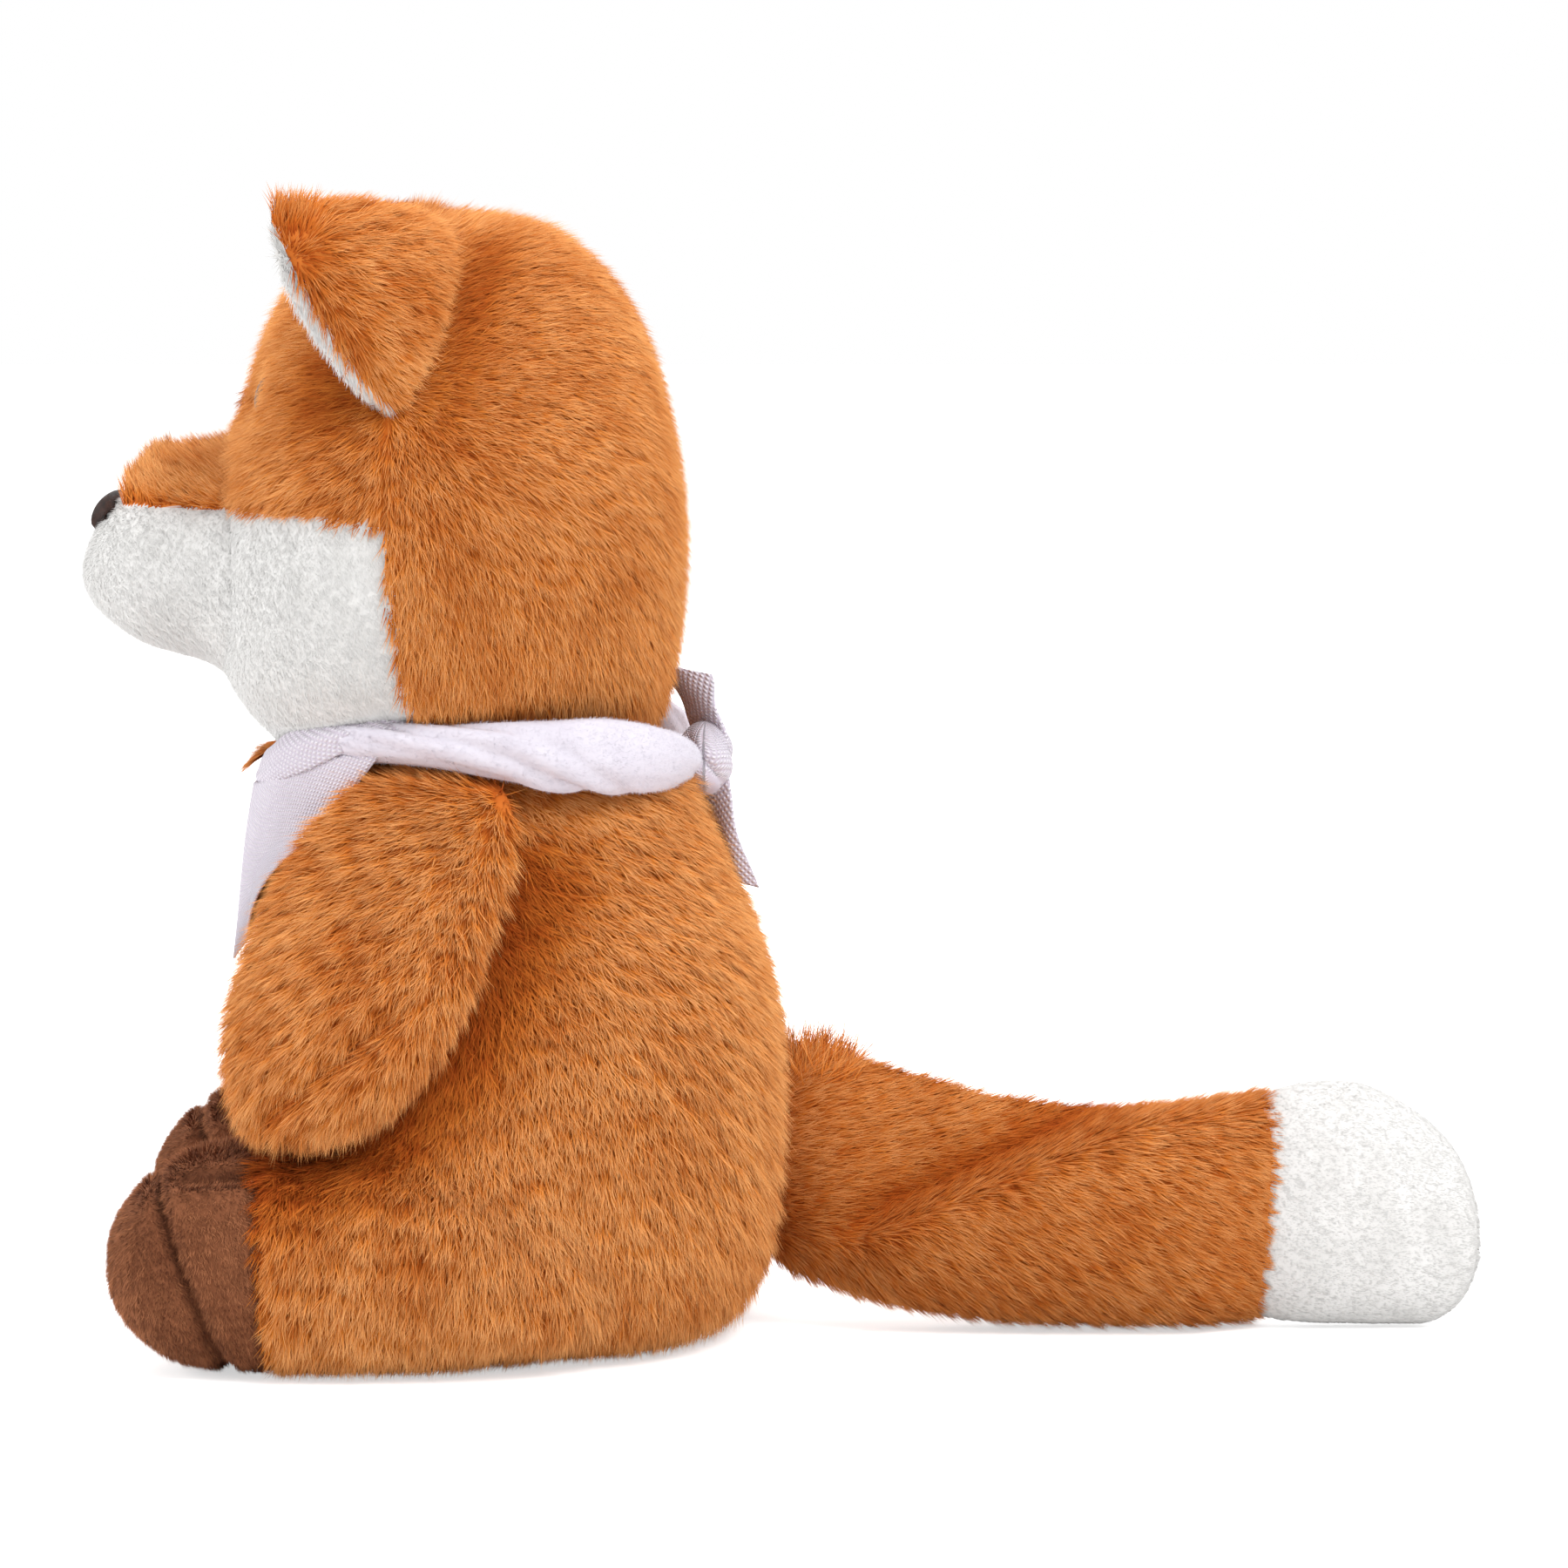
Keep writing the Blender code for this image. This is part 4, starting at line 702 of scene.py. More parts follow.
def face_nap(points, outward):
    """Forwards and down from the ear's root."""
    y, z = points[:, 1], points[:, 2]
    away, down = parting(FACE_SEAM - y, z)
    fan = np.stack([0 * z, -np.ones_like(z), -0.85 + 0.5 * ease(z, 145, 175)], axis=1)
    return (fan + 0.6 * from_root(points, EAR_ROOT, 16)) * away - down * np.array([0.0, 0.0, 0.8])


def painted_shadow_below_ear(points):
    """Painted shadow of the ear: a bell of 8 mm reach on the face just before the ear's lower end."""
    return 0.75 * bell(np.linalg.norm(on_left(points) - EAR_SHADE, axis=1), 8.0)


def painted_shade_behind_ear(points):
    """Painted shade: a bell of 5 mm reach along the line behind the ear's base, in the fold of ear and head.
    """
    high, low = EAR_FOLD
    near, line = on_left(points) - low, high - low
    share = ((near @ line) / (line @ line)).clip(0, 1)[:, None]
    return 0.45 * bell(np.linalg.norm(near - share * line, axis=1), 5.0)


def face_trim(points):
    """The face's pile is short by its lower seam and has its whole length 5 mm above it."""
    return 0.5 + 0.5 * ease(above_cheek(points), 0, 5)


head = head_form()
# The head's back panels get painted shade behind the ears, the face a painted shadow below them.
for word, seed, nap, test, pile, surface, fields in (
        ("head_back", 20, back_nap, is_back, HEAD_PILE, orange_plush, dict(deep=painted_shade_behind_ear)),
        ("face", 22, face_nap, is_face, HEAD_PILE, orange_plush, dict(deep=painted_shadow_below_ear, trim=face_trim)),
        ("cheek", 24, steady(0.0, 0.35, -1.0), is_cheek, SHORT_PILE, white_plush, {})):
    for side, sign in SIDES:
        piece = panel(f"plush_{word}_{side}", head, nap, half_of(test, sign), pile, surface,
                      seed + (sign > 0), hairless=at_eye, **fields)
        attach(piece, "head")
        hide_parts(f"{word}_{side}")
        if word == "head_back":
            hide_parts("head_stuffing")

# %% [markdown]
# The muzzle is a small stuffed cup sewn to the face: two white sides, and an orange bridge whose
# pile is brushed up and forwards. The stitched nose sits on its upper front.

# %% Muzzle
# Slices: y, top, bottom, half width, middle x.
MUZZLE = ((-38, 151, 106, 31, 0), (-45, 149, 109.6, 29, 0), (-51, 147.8, 113.4, 25.2, 0),
          (-57, 146.8, 115.2, 22.6, 0), (-62, 144, 116.8, 20.2, 0), (-66.2, 140.4, 119.4, 16.8, 0),
          (-69.6, 136, 122.4, 12.2, 0), (-71.6, 131.6, 125.8, 6.6, 0), (-72, 128.8, 128.8, 0, 0))
MUZZLE_POWER = 2.2
BRIDGE_BOTTOM, BRIDGE_FRONT = 140.2, -64.6


def is_bridge(middle):
    """Above the level line from the face's white seam to the nose."""
    return (middle[:, 2] > BRIDGE_BOTTOM) & (middle[:, 1] > BRIDGE_FRONT)


def bridge_nap(points, outward):
    """Forwards by the face, and up near the nose, so that the nose stays free."""
    ahead = ease(-points[:, 1], 50, 62)
    return np.stack([0 * ahead, -0.9 + 0.7 * ahead, 0.4 + 0.6 * ahead], axis=1)


muzzle = lengthwise(MUZZLE, MUZZLE_POWER, 60, 120)
bridge = panel("plush_muzzle_bridge", muzzle, bridge_nap, is_bridge, BRIDGE_PILE, orange_plush, 31)
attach(bridge, "head")
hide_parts("muzzle_bridge", "muzzle_stuffing")
for side, sign in SIDES:
    keep = half_of(lambda m: ~is_bridge(m), sign)
    piece = panel(f"plush_muzzle_{side}", muzzle, steady(0.0, 0.5, -0.9), keep, SHORT_PILE, white_plush,
                  32 + (sign > 0))
    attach(piece, "head")
    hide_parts(f"muzzle_{side}")

# %% [markdown]
# Each ear is an orange back and a white lining, sewn edge to edge and folded forwards. It is
# worked out as one curved leaf: a line from the seam on the head to the tip, for each place across.

# %% Ears
EAR_HIGH = np.array([22.0, -11.5, 185.0])
EAR_LOW = np.array([45.8, -17.6, 157.6])
EAR_TIP = np.array([56.0, -35.4, 188.0])
EAR_BULGE = np.array([1.0, 3.6, 1.6])
EAR_PUFF = np.array([6.5, 2.4, 1.8])
EAR_FORWARD = np.array([-0.35, -0.9, -0.25])
EAR_ROWS, EAR_COLUMNS = 28, 33
# In the photo the far ear doesn't show over the near one, so its tip is taken to sit this much lower.
FAR_EAR_DROP = 2.6


def leaf(rise, across, lift):
    """Point on the ear: base curve from low to high, drawn to the tip with rise to the power 1.15, its
    edges swelling by rise (1 - rise), its middle bulging back. The back puffs out by the square root of
    rise times (1 - rise), and the lining stands forward by the fourth root of 1 - across^6."""
    span = EAR_HIGH - EAR_LOW
    base = (EAR_LOW + EAR_HIGH) / 2 + across * span / 2
    pull = rise ** 1.15
    edge = across * span * 0.16 * rise * (1 - rise) * 2
    bulge = EAR_BULGE * (1 - across**2) * (1 - rise) ** 0.7
    puff = EAR_PUFF * np.sqrt(rise) * (1 - rise) * 2.6 * np.sqrt(1 - across**2)
    layer = EAR_FORWARD * lift * (1 - rise**6) * (1 - across**6) ** 0.25
    blunt = across * span * 0.04 * pull
    return base * (1 - pull) + EAR_TIP * pull + edge + blunt + bulge + puff * (lift == 0) + layer


def ear_layer(lift, sign):
    """Grid of the leaf, which starts 1.8 mm inside the head, mirrored for the fox's right side."""
    rise, across = np.meshgrid(np.linspace(-0.05, 1, EAR_ROWS), np.linspace(-1, 1, EAR_COLUMNS),
                               indexing="ij")
    grid = leaf(np.maximum(rise, 0)[..., None], across[..., None], lift)
    grid = grid - np.maximum(-rise, 0)[..., None] * np.array([60.0, 0.0, 60.0]) * 0.6
    if sign < 0:
        grid = grid - FAR_EAR_DROP * np.maximum(rise, 0)[..., None] ** 2 * np.array([0.0, 0.0, 1.0])
    return grid * mirror(sign)


def open_normals(grid, towards):
    """Cross product of the steps up and across, turned to face a given way."""
    made = unit(np.cross(np.gradient(grid, axis=0), np.gradient(grid, axis=1)))
    made[-1] = unit(made[-2].mean(axis=0))
    return made * np.sign((made * towards).sum())


def ear_nap(points, sign):
    """From the tip to the root, and up within 10 mm of the tip, so that the tip stays pointed."""
    inward = unit((EAR_LOW + EAR_HIGH) / 2 - EAR_TIP)
    near_tip = ease(-np.linalg.norm(points - EAR_TIP * mirror(sign), axis=1), -10, -4)[:, None]
    return inward * mirror(sign) * (1 - near_tip) + near_tip * np.array([-0.2 * sign, 0.1, 1.0])


for side, sign in SIDES:
    for word, lift, towards, pile, surface, seed in (
            ("ear_back", 0.0, np.array([0.6 * sign, 1.0, 0.3]), EAR_PILE, orange_plush, 41),
            ("ear_lining", 5.2, np.array([-0.6 * sign, -1.0, -0.3]), LINING_PILE, white_plush, 43)):
        grid = ear_layer(lift, sign)
        points, outward = grid.reshape(-1, 3), open_normals(grid, towards).reshape(-1, 3)
        faces = turned_outward(points, triangles_of(EAR_ROWS, EAR_COLUMNS, closed=False), outward)
        piece = cloth_and_pile(f"plush_{side}_{word}", points, outward, ear_nap(points, sign), faces,
                               pile, surface, seed + (sign > 0))
        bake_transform(piece)
        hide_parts(f"{side}_{word}")

# %% [markdown]
# The arms are flat stuffed paddles sewn to the shoulder. They hug the trunk, so their middle
# surface follows the trunk's width at each height. Each has a slanting fold near its end.

# %% Arms
ARM_GAP = 2.2
ARM_SEAM = 5  # mm outside the trunk at which the outer and inner panels meet
WHORL = np.array([46.0, 7.0, 98.0])


def hug(y, z):
    """How far out the trunk's side is at a height, drawn in towards the front as the square of y."""
    return np.interp(z, TRUNK_SIDES[:, 0], TRUNK_SIDES[:, 3]) * (1 - 0.30 * (y / 41.5) ** 2)


def arm_fold(y, z, reach):
    """A bell across the slanting line of the fold in the palm, faded at both of its ends."""
    away = (z - 46.4) - 0.83 * (y + 34.9)
    return bell(away, reach) * ease(y, -42, -36) * (1 - ease(y, -20, -12))


def painted_shade_in_arm_fold(points):
    """Painted shade: a dark line along the fold."""
    return 0.7 * arm_fold(points[:, 1], points[:, 2], 1.3)


def arm_form(sign):
    """Level slices: an ellipse between front and back whose inner side lies on the trunk."""
    z, front, back, thick = columns_of(70, ARM)
    along, across = rounded(turns(96), 2.1)
    y = (front + back) / 2 - along * (back - front) / 2
    x = hug(y, z) + ARM_GAP + thick / 2 * (1 + across)
    crease = 2.4 * arm_fold(y, z, 2.4) * (across > 0) * across
    return np.stack([sign * (x - crease), y, z + 0 * y], axis=-1)


def arm_nap(points, outward):
    """Away from the shoulder and down."""
    return from_root(points, WHORL, 60) * 1.6 + np.array([0.0, -0.1, -0.75])


def is_outer(middle):
    """Further out than the line round the arm where its two panels meet."""
    return np.abs(middle[:, 0]) >= hug(middle[:, 1], middle[:, 2]) + ARM_GAP + ARM_SEAM


# Both panels of each arm get painted shade along the fold.
for side, sign in SIDES:
    form = arm_form(sign)
    for word, seed, test, pile in (("outer", 51, is_outer, ARM_PILE),
                                   ("inner", 53, lambda m: ~is_outer(m), INNER_ARM_PILE)):
        piece = panel(f"plush_{side}_arm_{word}", form, arm_nap, test, pile, orange_plush, seed + (sign > 0),
                      deep=painted_shade_in_arm_fold)
        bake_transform(piece)
        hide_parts(f"{side}_arm_{word}")
        if word == "inner":
            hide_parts(f"{side}_arm_stuffing")

# %% [markdown]
# The legs stick out in front: an orange thigh that grows out of the hip without a line, and a
# brown foot closed by a slanting sole. The two brown panels meet in a drawn-in seam.


# %% Seams of the legs
def sole_seam(points):
    """Signed distance in front of the slanting seam, which leans back towards the floor."""
    return (-47.2 - 0.37 * (points[..., 2] - 5.8)) - points[..., 1]


def ankle_seam(points):
    """Signed distance behind the seam of thigh and foot, which leans forward at the top."""
    return points[..., 1] - (-38.6 - 0.05 * (points[..., 2] - 5))


def instep(points):
    """The crease under the lip on top of the foot, on its outer side: a bell across a nearly level line."""
    y = points[..., 1]
    under = points[..., 2] - (33.2 + 0.06 * (y + 50))
    return bell(under, 1.0) * ease(y, -56, -50) * (1 - ease(y, -42, -39.5))


def is_thigh(middle):
    """Behind the ankle's seam."""
    return ankle_seam(middle) > 0


def is_sole(middle):
    """In front of both seams."""
    return ~is_thigh(middle) & (sole_seam(middle) >= 0)


def painted_shade_in_foot_seams(points):
    """Painted shade: dark lines along the two seams and in the crease under the instep."""
    lines = 0.75 * bell(sole_seam(points), 0.9) + 0.6 * bell(ankle_seam(points), 1.0)
    return np.minimum(lines + 0.8 * instep(points), 1)


def painted_shade_on_thigh(points):
    """Painted shade: as beside the arm, and a little along the seam with the foot."""
    return np.minimum(painted_shade_beside_arm(points) + 0.5 * bell(ankle_seam(points), 1.2), 1)


def thigh_trim(points):
    """The thigh's pile is short by the foot and has its whole length 4 mm behind it."""
    return 0.6 + 0.4 * ease(ankle_seam(points), 0, 4)


# %% Legs
def leg_form(sign):
    """The leg drawn in along its two seams and under the instep's lip, by bells 1 to 1.4 mm wide."""
    form = lengthwise(LEG, 2.5, 116, 110)
    swell = 3.6 * ease(form[..., 1], -36, -20) * ease(form[..., 2], 2, 12)
    form = filleted(form, outside_trunk(form), swell)
    draw = 1.8 * bell(sole_seam(form), 1.4) + 0.8 * bell(ankle_seam(form), 1.4) + 2.0 * instep(form)
    form = form - normals(form) * draw[..., None]
    return form * mirror(sign)


# Thigh and foot get painted shade beside the arm and along their seams and the instep's crease.
for side, sign in SIDES:
    form = leg_form(sign)
    for word, seed, test, nap, pile, surface, fields in (
            ("thigh", 61, is_thigh, steady(0.0, -0.16, -1.0), BODY_PILE, orange_plush,
             dict(deep=painted_shade_on_thigh, trim=thigh_trim)),
            ("foot_upper", 63, lambda m: ~is_thigh(m) & ~is_sole(m), steady(0.0, 0.35, -1.0), FOOT_PILE,
             brown_plush, dict(deep=painted_shade_in_foot_seams)),
            ("foot_sole", 65, is_sole, steady(0.0, 0.35, -1.0), FOOT_PILE,
             brown_plush, dict(deep=painted_shade_in_foot_seams))):
        piece = panel(f"plush_{side}_{word}", form, nap, test, pile, surface, seed + (sign > 0), **fields)
        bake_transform(piece)
        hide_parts(f"{side}_{word}")
        if word == "thigh":
            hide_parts(f"{side}_leg_stuffing")

# %% [markdown]
# The tail is a long flat sleeve with little stuffing, so it has one slanting fold, and its white
# tip is a pocket with shorter pile. Where its upper seam meets the body, longer hairs stand up.

# %% Slices and fold of the tail
# Slices: y, top, bottom, half width, middle x.
TAIL = ((40, 42, 16, 6, 0), (47, 46.6, 10.6, 8, 0), (56, 45, 7.2, 8.8, 0), (67, 41.8, 4.8, 9.2, 0),
        (79, 38.6, 3, 9.4, 0), (92, 36.8, 2.2, 9.6, 0), (105, 36.8, 2, 9.6, 0), (118, 38.2, 2, 9.2, 0),
        (129.3, 39.6, 2, 8.8, 0))
TIP = ((121, 37, 4, 7, 0), (126.5, 39.8, 1.8, 8.4, 0), (133, 41.6, 0.9, 9.2, 0), (141, 41.8, 0.7, 9.2, 0),
       (148, 39.2, 0.6, 8.6, 0), (154.8, 34.6, 1, 7.4, 0), (159.6, 28.6, 4.2, 5.4, 0),
       (162, 21.5, 9.6, 3, 0), (162.6, 15, 15, 0, 0))
TAIL_END = 129.3
TIP_LEAN = 0.075  # how far the seam of the white tip leans back, for each millimetre up


def over_fold(points):
    """Height over the slanting line of the fold, which rises from the tail's root to its upper edge."""
    return points[..., 2] - (18.4 + 0.43 * (points[..., 1] - 56))


def fold_fade(points):
    """The fold grows from the root and ends before the white tip."""
    return ease(points[..., 1], 48, 64) * (1 - ease(points[..., 1], 112, 130))


def tail_form():
    """Below the fold's line the tail swells outward, above it falls back, by an ease of the height over
    it. Its end leans back like the seam of the white tip."""
    form = lengthwise(TAIL, 2.1, 90, 110)
    made = form.copy()
    below = ease(-over_fold(form), -1.5, 3.5)
    made[..., 0] += (3.6 * below - 3.4 * (1 - below)) * fold_fade(form) * ease(form[..., 0], -2, 4)
    made[..., 1] += (TIP_LEAN * (form[..., 2] - 20) - 3.0) * ease(form[..., 1], 108, TAIL_END)
    return made


def painted_shade_over_tail_fold(points):
    """Painted shade in the valley over the fold: its hairs are given dull tone and dark tips."""
    return 0.55 * bell(over_fold(points) - 2.0, 2.6) * fold_fade(points)


def tail_trim(points):
    """The tail's pile is short at the seam of the white tip and has its whole length 6 mm before it."""
    return 0.38 + 0.62 * ease(TAIL_END - 3.0 + TIP_LEAN * (points[:, 2] - 20) - points[:, 1], 0, 6)


def tail_nap(points, outward):
    """Towards the tip: upwards over the fold's line, downwards below it."""
    over = ease(over_fold(points), -2, 4)
    return np.stack([0 * over, np.ones_like(over), -0.42 + 0.62 * over], axis=1)


# %% Tail and its tip
ROOT_BLEND = dict(start=(0, 0.044, 0.02), end=(0, 0.062, 0.02))
TIP_BLEND = dict(start=(0, 0.128, 0.02), end=(0, 0.136, 0.02))
tail = tail_form()
# The tail gets painted shade in the valley over its fold.
for word, form, parent, ends, nap, pile, surface, seed, fields in (
        ("tail", tail, "torso", ROOT_BLEND, tail_nap, TAIL_PILE, orange_plush, 71,
         dict(deep=painted_shade_over_tail_fold, trim=tail_trim)),
        ("tail_tip", lengthwise(TIP, 2.2, 60, 110), "tail", TIP_BLEND, steady(0.0, 1.0, -0.1), TIP_PILE,
         white_plush, 73, {})):
    for side, sign in SIDES:
        piece = panel(f"plush_{word}_{side}", form, nap, half_of(anywhere, sign), pile, surface,
                      seed + (sign > 0), **fields)
        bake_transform(piece)
        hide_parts(f"{word}_{side}")
        if side == "left":
            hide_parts(f"{word}_stuffing")

root_tuft = panel("plush_tail_root_tuft", tail - normals(tail) * 0.4, steady(0.0, 0.5, 1.0),
                  lambda m: (m[:, 1] > 44) & (m[:, 1] < 56) & (m[:, 2] > 41.5), ROOT_PILE, orange_plush, 75)
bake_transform(root_tuft)

# %% [markdown]
# The bandana is one triangle of fine polyester knit, rolled into a band, knotted behind, with a
# plain flap on the chest. Its ribs are 0.6 to 0.8 mm apart, and the roll shows its brushed side.


# %% Knit material
RIBS_TO_SCALE = 3.14159  # about how many waves the Wave texture has in a metre for each 1 of its Scale


def knit(name, ribs_per_metre, turn, depth):
    """Fine ribs by a wave over the cloth's own map, in metres, with a second wave across for the loops.
    The low places between them are painted darker, as painted shade, as well as bumped.
    """
    made, tree, shader = blank(name)
    place = node(tree, "ShaderNodeUVMap", uv_map="Cloth").outputs["UV"]
    turned = node(tree, "ShaderNodeMapping", {"Vector": place}, Rotation=(0, 0, math.radians(turn)))
    ribs, loops = (node(tree, "ShaderNodeTexWave", {"Vector": turned.outputs["Vector"]},
                        bands_direction=direction, Scale=ribs_per_metre * share / RIBS_TO_SCALE).outputs["Fac"]
                   for direction, share in (("X", 1.0), ("Y", 1.35)))
    height = node(tree, "ShaderNodeMath", {0: ribs, 1: loops}, operation="MULTIPLY").outputs[0]
    cloudy = node(tree, "ShaderNodeTexNoise", {"Vector": place}, Scale=90.0).outputs["Fac"]
    # Painted shade: the knit's lilac white darkens where ribs and loops are low.
    shade = node(tree, "ShaderNodeValToRGB", {"Fac": height}, ((0.0, "#C6BDCA"), (0.45, "#EFEAF2")))
    worn = node(tree, "ShaderNodeValToRGB", {"Fac": cloudy}, ((0.3, "#E4DEE6"), (0.7, "#FFFFFF")))
    colours = {FIRST_COLOUR: shade.outputs["Color"], SECOND_COLOUR: worn.outputs["Color"]}
    mixed = node(tree, "ShaderNodeMix", colours, data_type="RGBA", blend_type="MULTIPLY")
    mixed.inputs[0].default_value = 0.25
    tree.links.new(mixed.outputs[MIXED_COLOUR], shader.inputs["Base Color"])
    bump = node(tree, "ShaderNodeBump", {"Height": height}, Strength=0.8, Distance=depth)
    tree.links.new(bump.outputs["Normal"], shader.inputs["Normal"])
    settle(shader, Roughness=0.85, IOR=POLYESTER_INDEX, Specular_IOR_Level=0.2, Sheen_Weight=0.2)
    return made


# The real rows are 0.6 to 0.8 mm apart. They are drawn 1 mm apart, because the real ones are too fine to
# show in the render. The brushed side is a soft white with a lilac shade in its folds.
flap_knit = knit("white_polyester_knit_ribbed", 1000, 62, 0.0004)
mesh_knit = knit("white_polyester_knit_open_mesh", 950, 28, 0.0005)
brushed_knit = plush("white_polyester_knit_brushed",
                     ((0.0, "#C6C0CB"), (1.0, "#D8D3DD")), ((0.0, "#D2CDD8"), (1.0, "#E8E4EC")),
                     0.95, 0.1, "#FFFFFF")


def cloth_object(name, grid, surface, thick, closed):
    """A sheet from a grid of points, thickened by Solidify, with a map of its own lengths in metres."""
    rows, columns = grid.shape[:2]
    mesh = bpy.data.meshes.new(name)
    index = np.arange(rows * columns).reshape(rows, columns)
    after = np.roll(index, -1, axis=1) if closed else index[:, 1:]
    here = index if closed else index[:, :-1]
    quads = np.stack([here[:-1], after[:-1], after[1:], here[1:]], axis=-1).reshape(-1, 4)
    mesh.from_pydata((grid.reshape(-1, 3) * MM).tolist(), [], quads.tolist())
    up = np.concatenate([np.zeros((1, columns)), np.linalg.norm(np.diff(grid, axis=0), axis=2).cumsum(0)]) * MM
    steps = np.linalg.norm(np.diff(grid, axis=1), axis=2)
    over = np.concatenate([np.zeros((rows, 1)), steps.cumsum(1)], axis=1) * MM
    over = over - over.mean(axis=1, keepdims=True)
    flat = np.stack([over, up], axis=-1).reshape(-1, 2)
    corners = np.empty(len(mesh.loops), np.int32)
    mesh.loops.foreach_get("vertex_index", corners)
    layer = mesh.uv_layers.new(name="Cloth")
    layer.uv.foreach_set("vector", flat[corners].astype(np.float32).ravel())
    mesh.shade_smooth()
    mesh.materials.append(surface)
    made = placed(name, mesh)
    wall = made.modifiers.new("Cloth thickness", "SOLIDIFY")
    wall.thickness = thick * MM
    wall.offset = 0
    return made


# %% [markdown]
# In front the band is one open fold of the knit, whose mesh shows. From the shoulder to the knot
# it is rolled, with the brushed side out, and the roll starts with a twist. Both are worked out round
# the neck from the heights of their two edges, measured in the photo.

# %% Band round the neck
# Round the neck from the front to the knot: angle share, top z, bottom z, stand-off from the neck.
BAND = ((0.0, 97.0, 92.2, 1.9), (0.12, 99.4, 93.8, 3.0), (0.2, 102.4, 95.8, 4.2), (0.28, 105, 98.2, 5.0),
        (0.36, 106, 99.2, 5.4), (0.45, 106.2, 98.2, 5.8), (0.54, 106.6, 95.2, 6.2), (0.66, 106.6, 94, 6.4),
        (0.8, 103.6, 93.6, 6.0), (0.92, 100, 93.8, 4.8), (1.0, 98.4, 94.2, 4.0))
FOLD_END = 0.46
ROLL_START = 0.25


def neck_ring(angle, stand):
    """Superellipse of the neck, widened by the stand-off."""
    along, across = rounded(angle, 2.3)
    depth = np.where(along > 0, 38.6, 24.0)
    return np.stack([across * (33.0 + stand), -along * (depth + stand)], axis=-1)


def band_at(share):
    """Top, bottom and stand-off at a share of the way round, the same on both sides."""
    share = np.minimum(np.abs(share), 2 - np.abs(share))
    table = smooth(120, BAND)
    return (np.interp(share, table[:, 0], table[:, column]) for column in (1, 2, 3))


def fold_grid(rows=26, columns=150):
    """Front fold: up the outer face from the fold line, over the top by a half circle and 4 mm down inside.
    It narrows to its top edge over the start of the roll."""
    share = np.linspace(-FOLD_END, FOLD_END, columns)[None]
    up = np.linspace(0, 1, rows)[:, None]
    top, bottom, stand = band_at(share)
    tuck = ease(np.abs(share), 0.36, 0.45)
    bottom = bottom + 0.85 * (top - bottom) * ease(np.abs(share), 0.24, 0.43)
    top, stand = top - 1.6 * tuck, stand - 3.2 * tuck
    over = np.clip((up - 0.62) / 0.2, 0, 1) * math.pi
    rise = np.minimum(up / 0.62, 1)
    inside = np.clip((up - 0.82) / 0.18, 0, 1)
    z = bottom + (top - bottom) * rise + 0.9 * np.sin(over) - 4.0 * inside
    belly = 1.1 * np.sin(math.pi * rise) * (up < 0.62)
    ripple = 0.35 * np.sin(2 * math.pi * rise + 9 * share) * np.sin(math.pi * rise)
    away = stand + 0.7 + 0.9 * np.cos(over) - 0.4 * rise + belly + ripple
    ring = neck_ring(share * math.pi, away)
    return np.concatenate([ring, z[..., None]], axis=-1)


def roll_grid(around=230, sides=40):
    """Roll of cloth: an oval between the two edges, with three valleys that wind from its top to its
    lower side."""
    share = np.linspace(ROLL_START, 2 - ROLL_START, around)[:, None]
    near = np.minimum(share, 2 - share)
    top, bottom, stand = band_at(share)
    turn = turns(sides)
    start = ease(near, ROLL_START - 0.01, ROLL_START + 0.10)
    thick = (1.2 + 1.7 * start + 0.8 * bell(near - 0.66, 0.12)) * (0.6 + 0.4 * start)
    high = (top - bottom) / 2 * (0.92 + 0.08 * start)
    wind = 1.5 - 3.4 * (near - 0.36) / 0.3
    valley = 0.0 * turn
    for offset, depth, spread in ((0.0, 0.26, 0.30), (1.15, 0.16, 0.26), (-1.3, 0.12, 0.3)):
        apart = (turn - wind - offset + math.pi) % (2 * math.pi) - math.pi
        valley = valley + depth * bell(apart, spread) * (1 - ease(near, 0.52, 0.86))
    pinch = (0.05 * np.sin(3 * turn + 4 * near) + 0.04 * np.sin(5 * turn - 6 * near)
             + 0.03 * np.sin(9 * turn + 15 * near) + 0.02 * np.sin(13 * turn - 24 * near))
    size = 1 - valley + pinch * (0.4 + 0.6 * ease(near, 0.7, 1.0))
    ring = neck_ring(share * math.pi + 0 * turn, stand + thick * np.cos(turn) * size + 1.3 * np.sin(turn))
    z = (top + bottom) / 2 + high * np.sin(turn) * size
    return np.concatenate([ring, z[..., None]], axis=-1)


fold = cloth_object("bandana_front_fold", fold_grid(), mesh_knit, 0.5, closed=False)


def bandana_roll():
    """The roll's surface with its nap of fine loops, turned away from the roll's own middle line."""
    grid = roll_grid()
    away = normals(grid)
    away = away * np.sign(((grid - grid.mean(axis=1, keepdims=True)) * away).sum(-1, keepdims=True))
    points, outward = grid.reshape(-1, 3), away.reshape(-1, 3)
    faces = turned_outward(points, triangles_of(grid.shape[0], grid.shape[1], closed=True), outward)
    nap = np.gradient(grid, axis=0).reshape(-1, 3)
    return cloth_and_pile("bandana_roll", points, outward, nap, faces, BRUSHED_PILE, brushed_knit, 81)


band = bandana_roll()
for piece in (fold, band):
    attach(piece, "torso")
    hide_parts("bandana_band")

# %% [markdown]
# The flap hangs from the fold as a blank triangle. It lies over the chest, so each point keeps a
# little in front of the trunk's pile, and it bows in two soft folds.

# %% Flap on the chest
FLAP_TIP = np.array([0.0, -47.8, 63.0])
FLAP_REACH = 0.37
FLAP_BOW = 4.5
FLAP_CLEAR = 4.2  # mm in front of the chest's cloth, over its lying pile


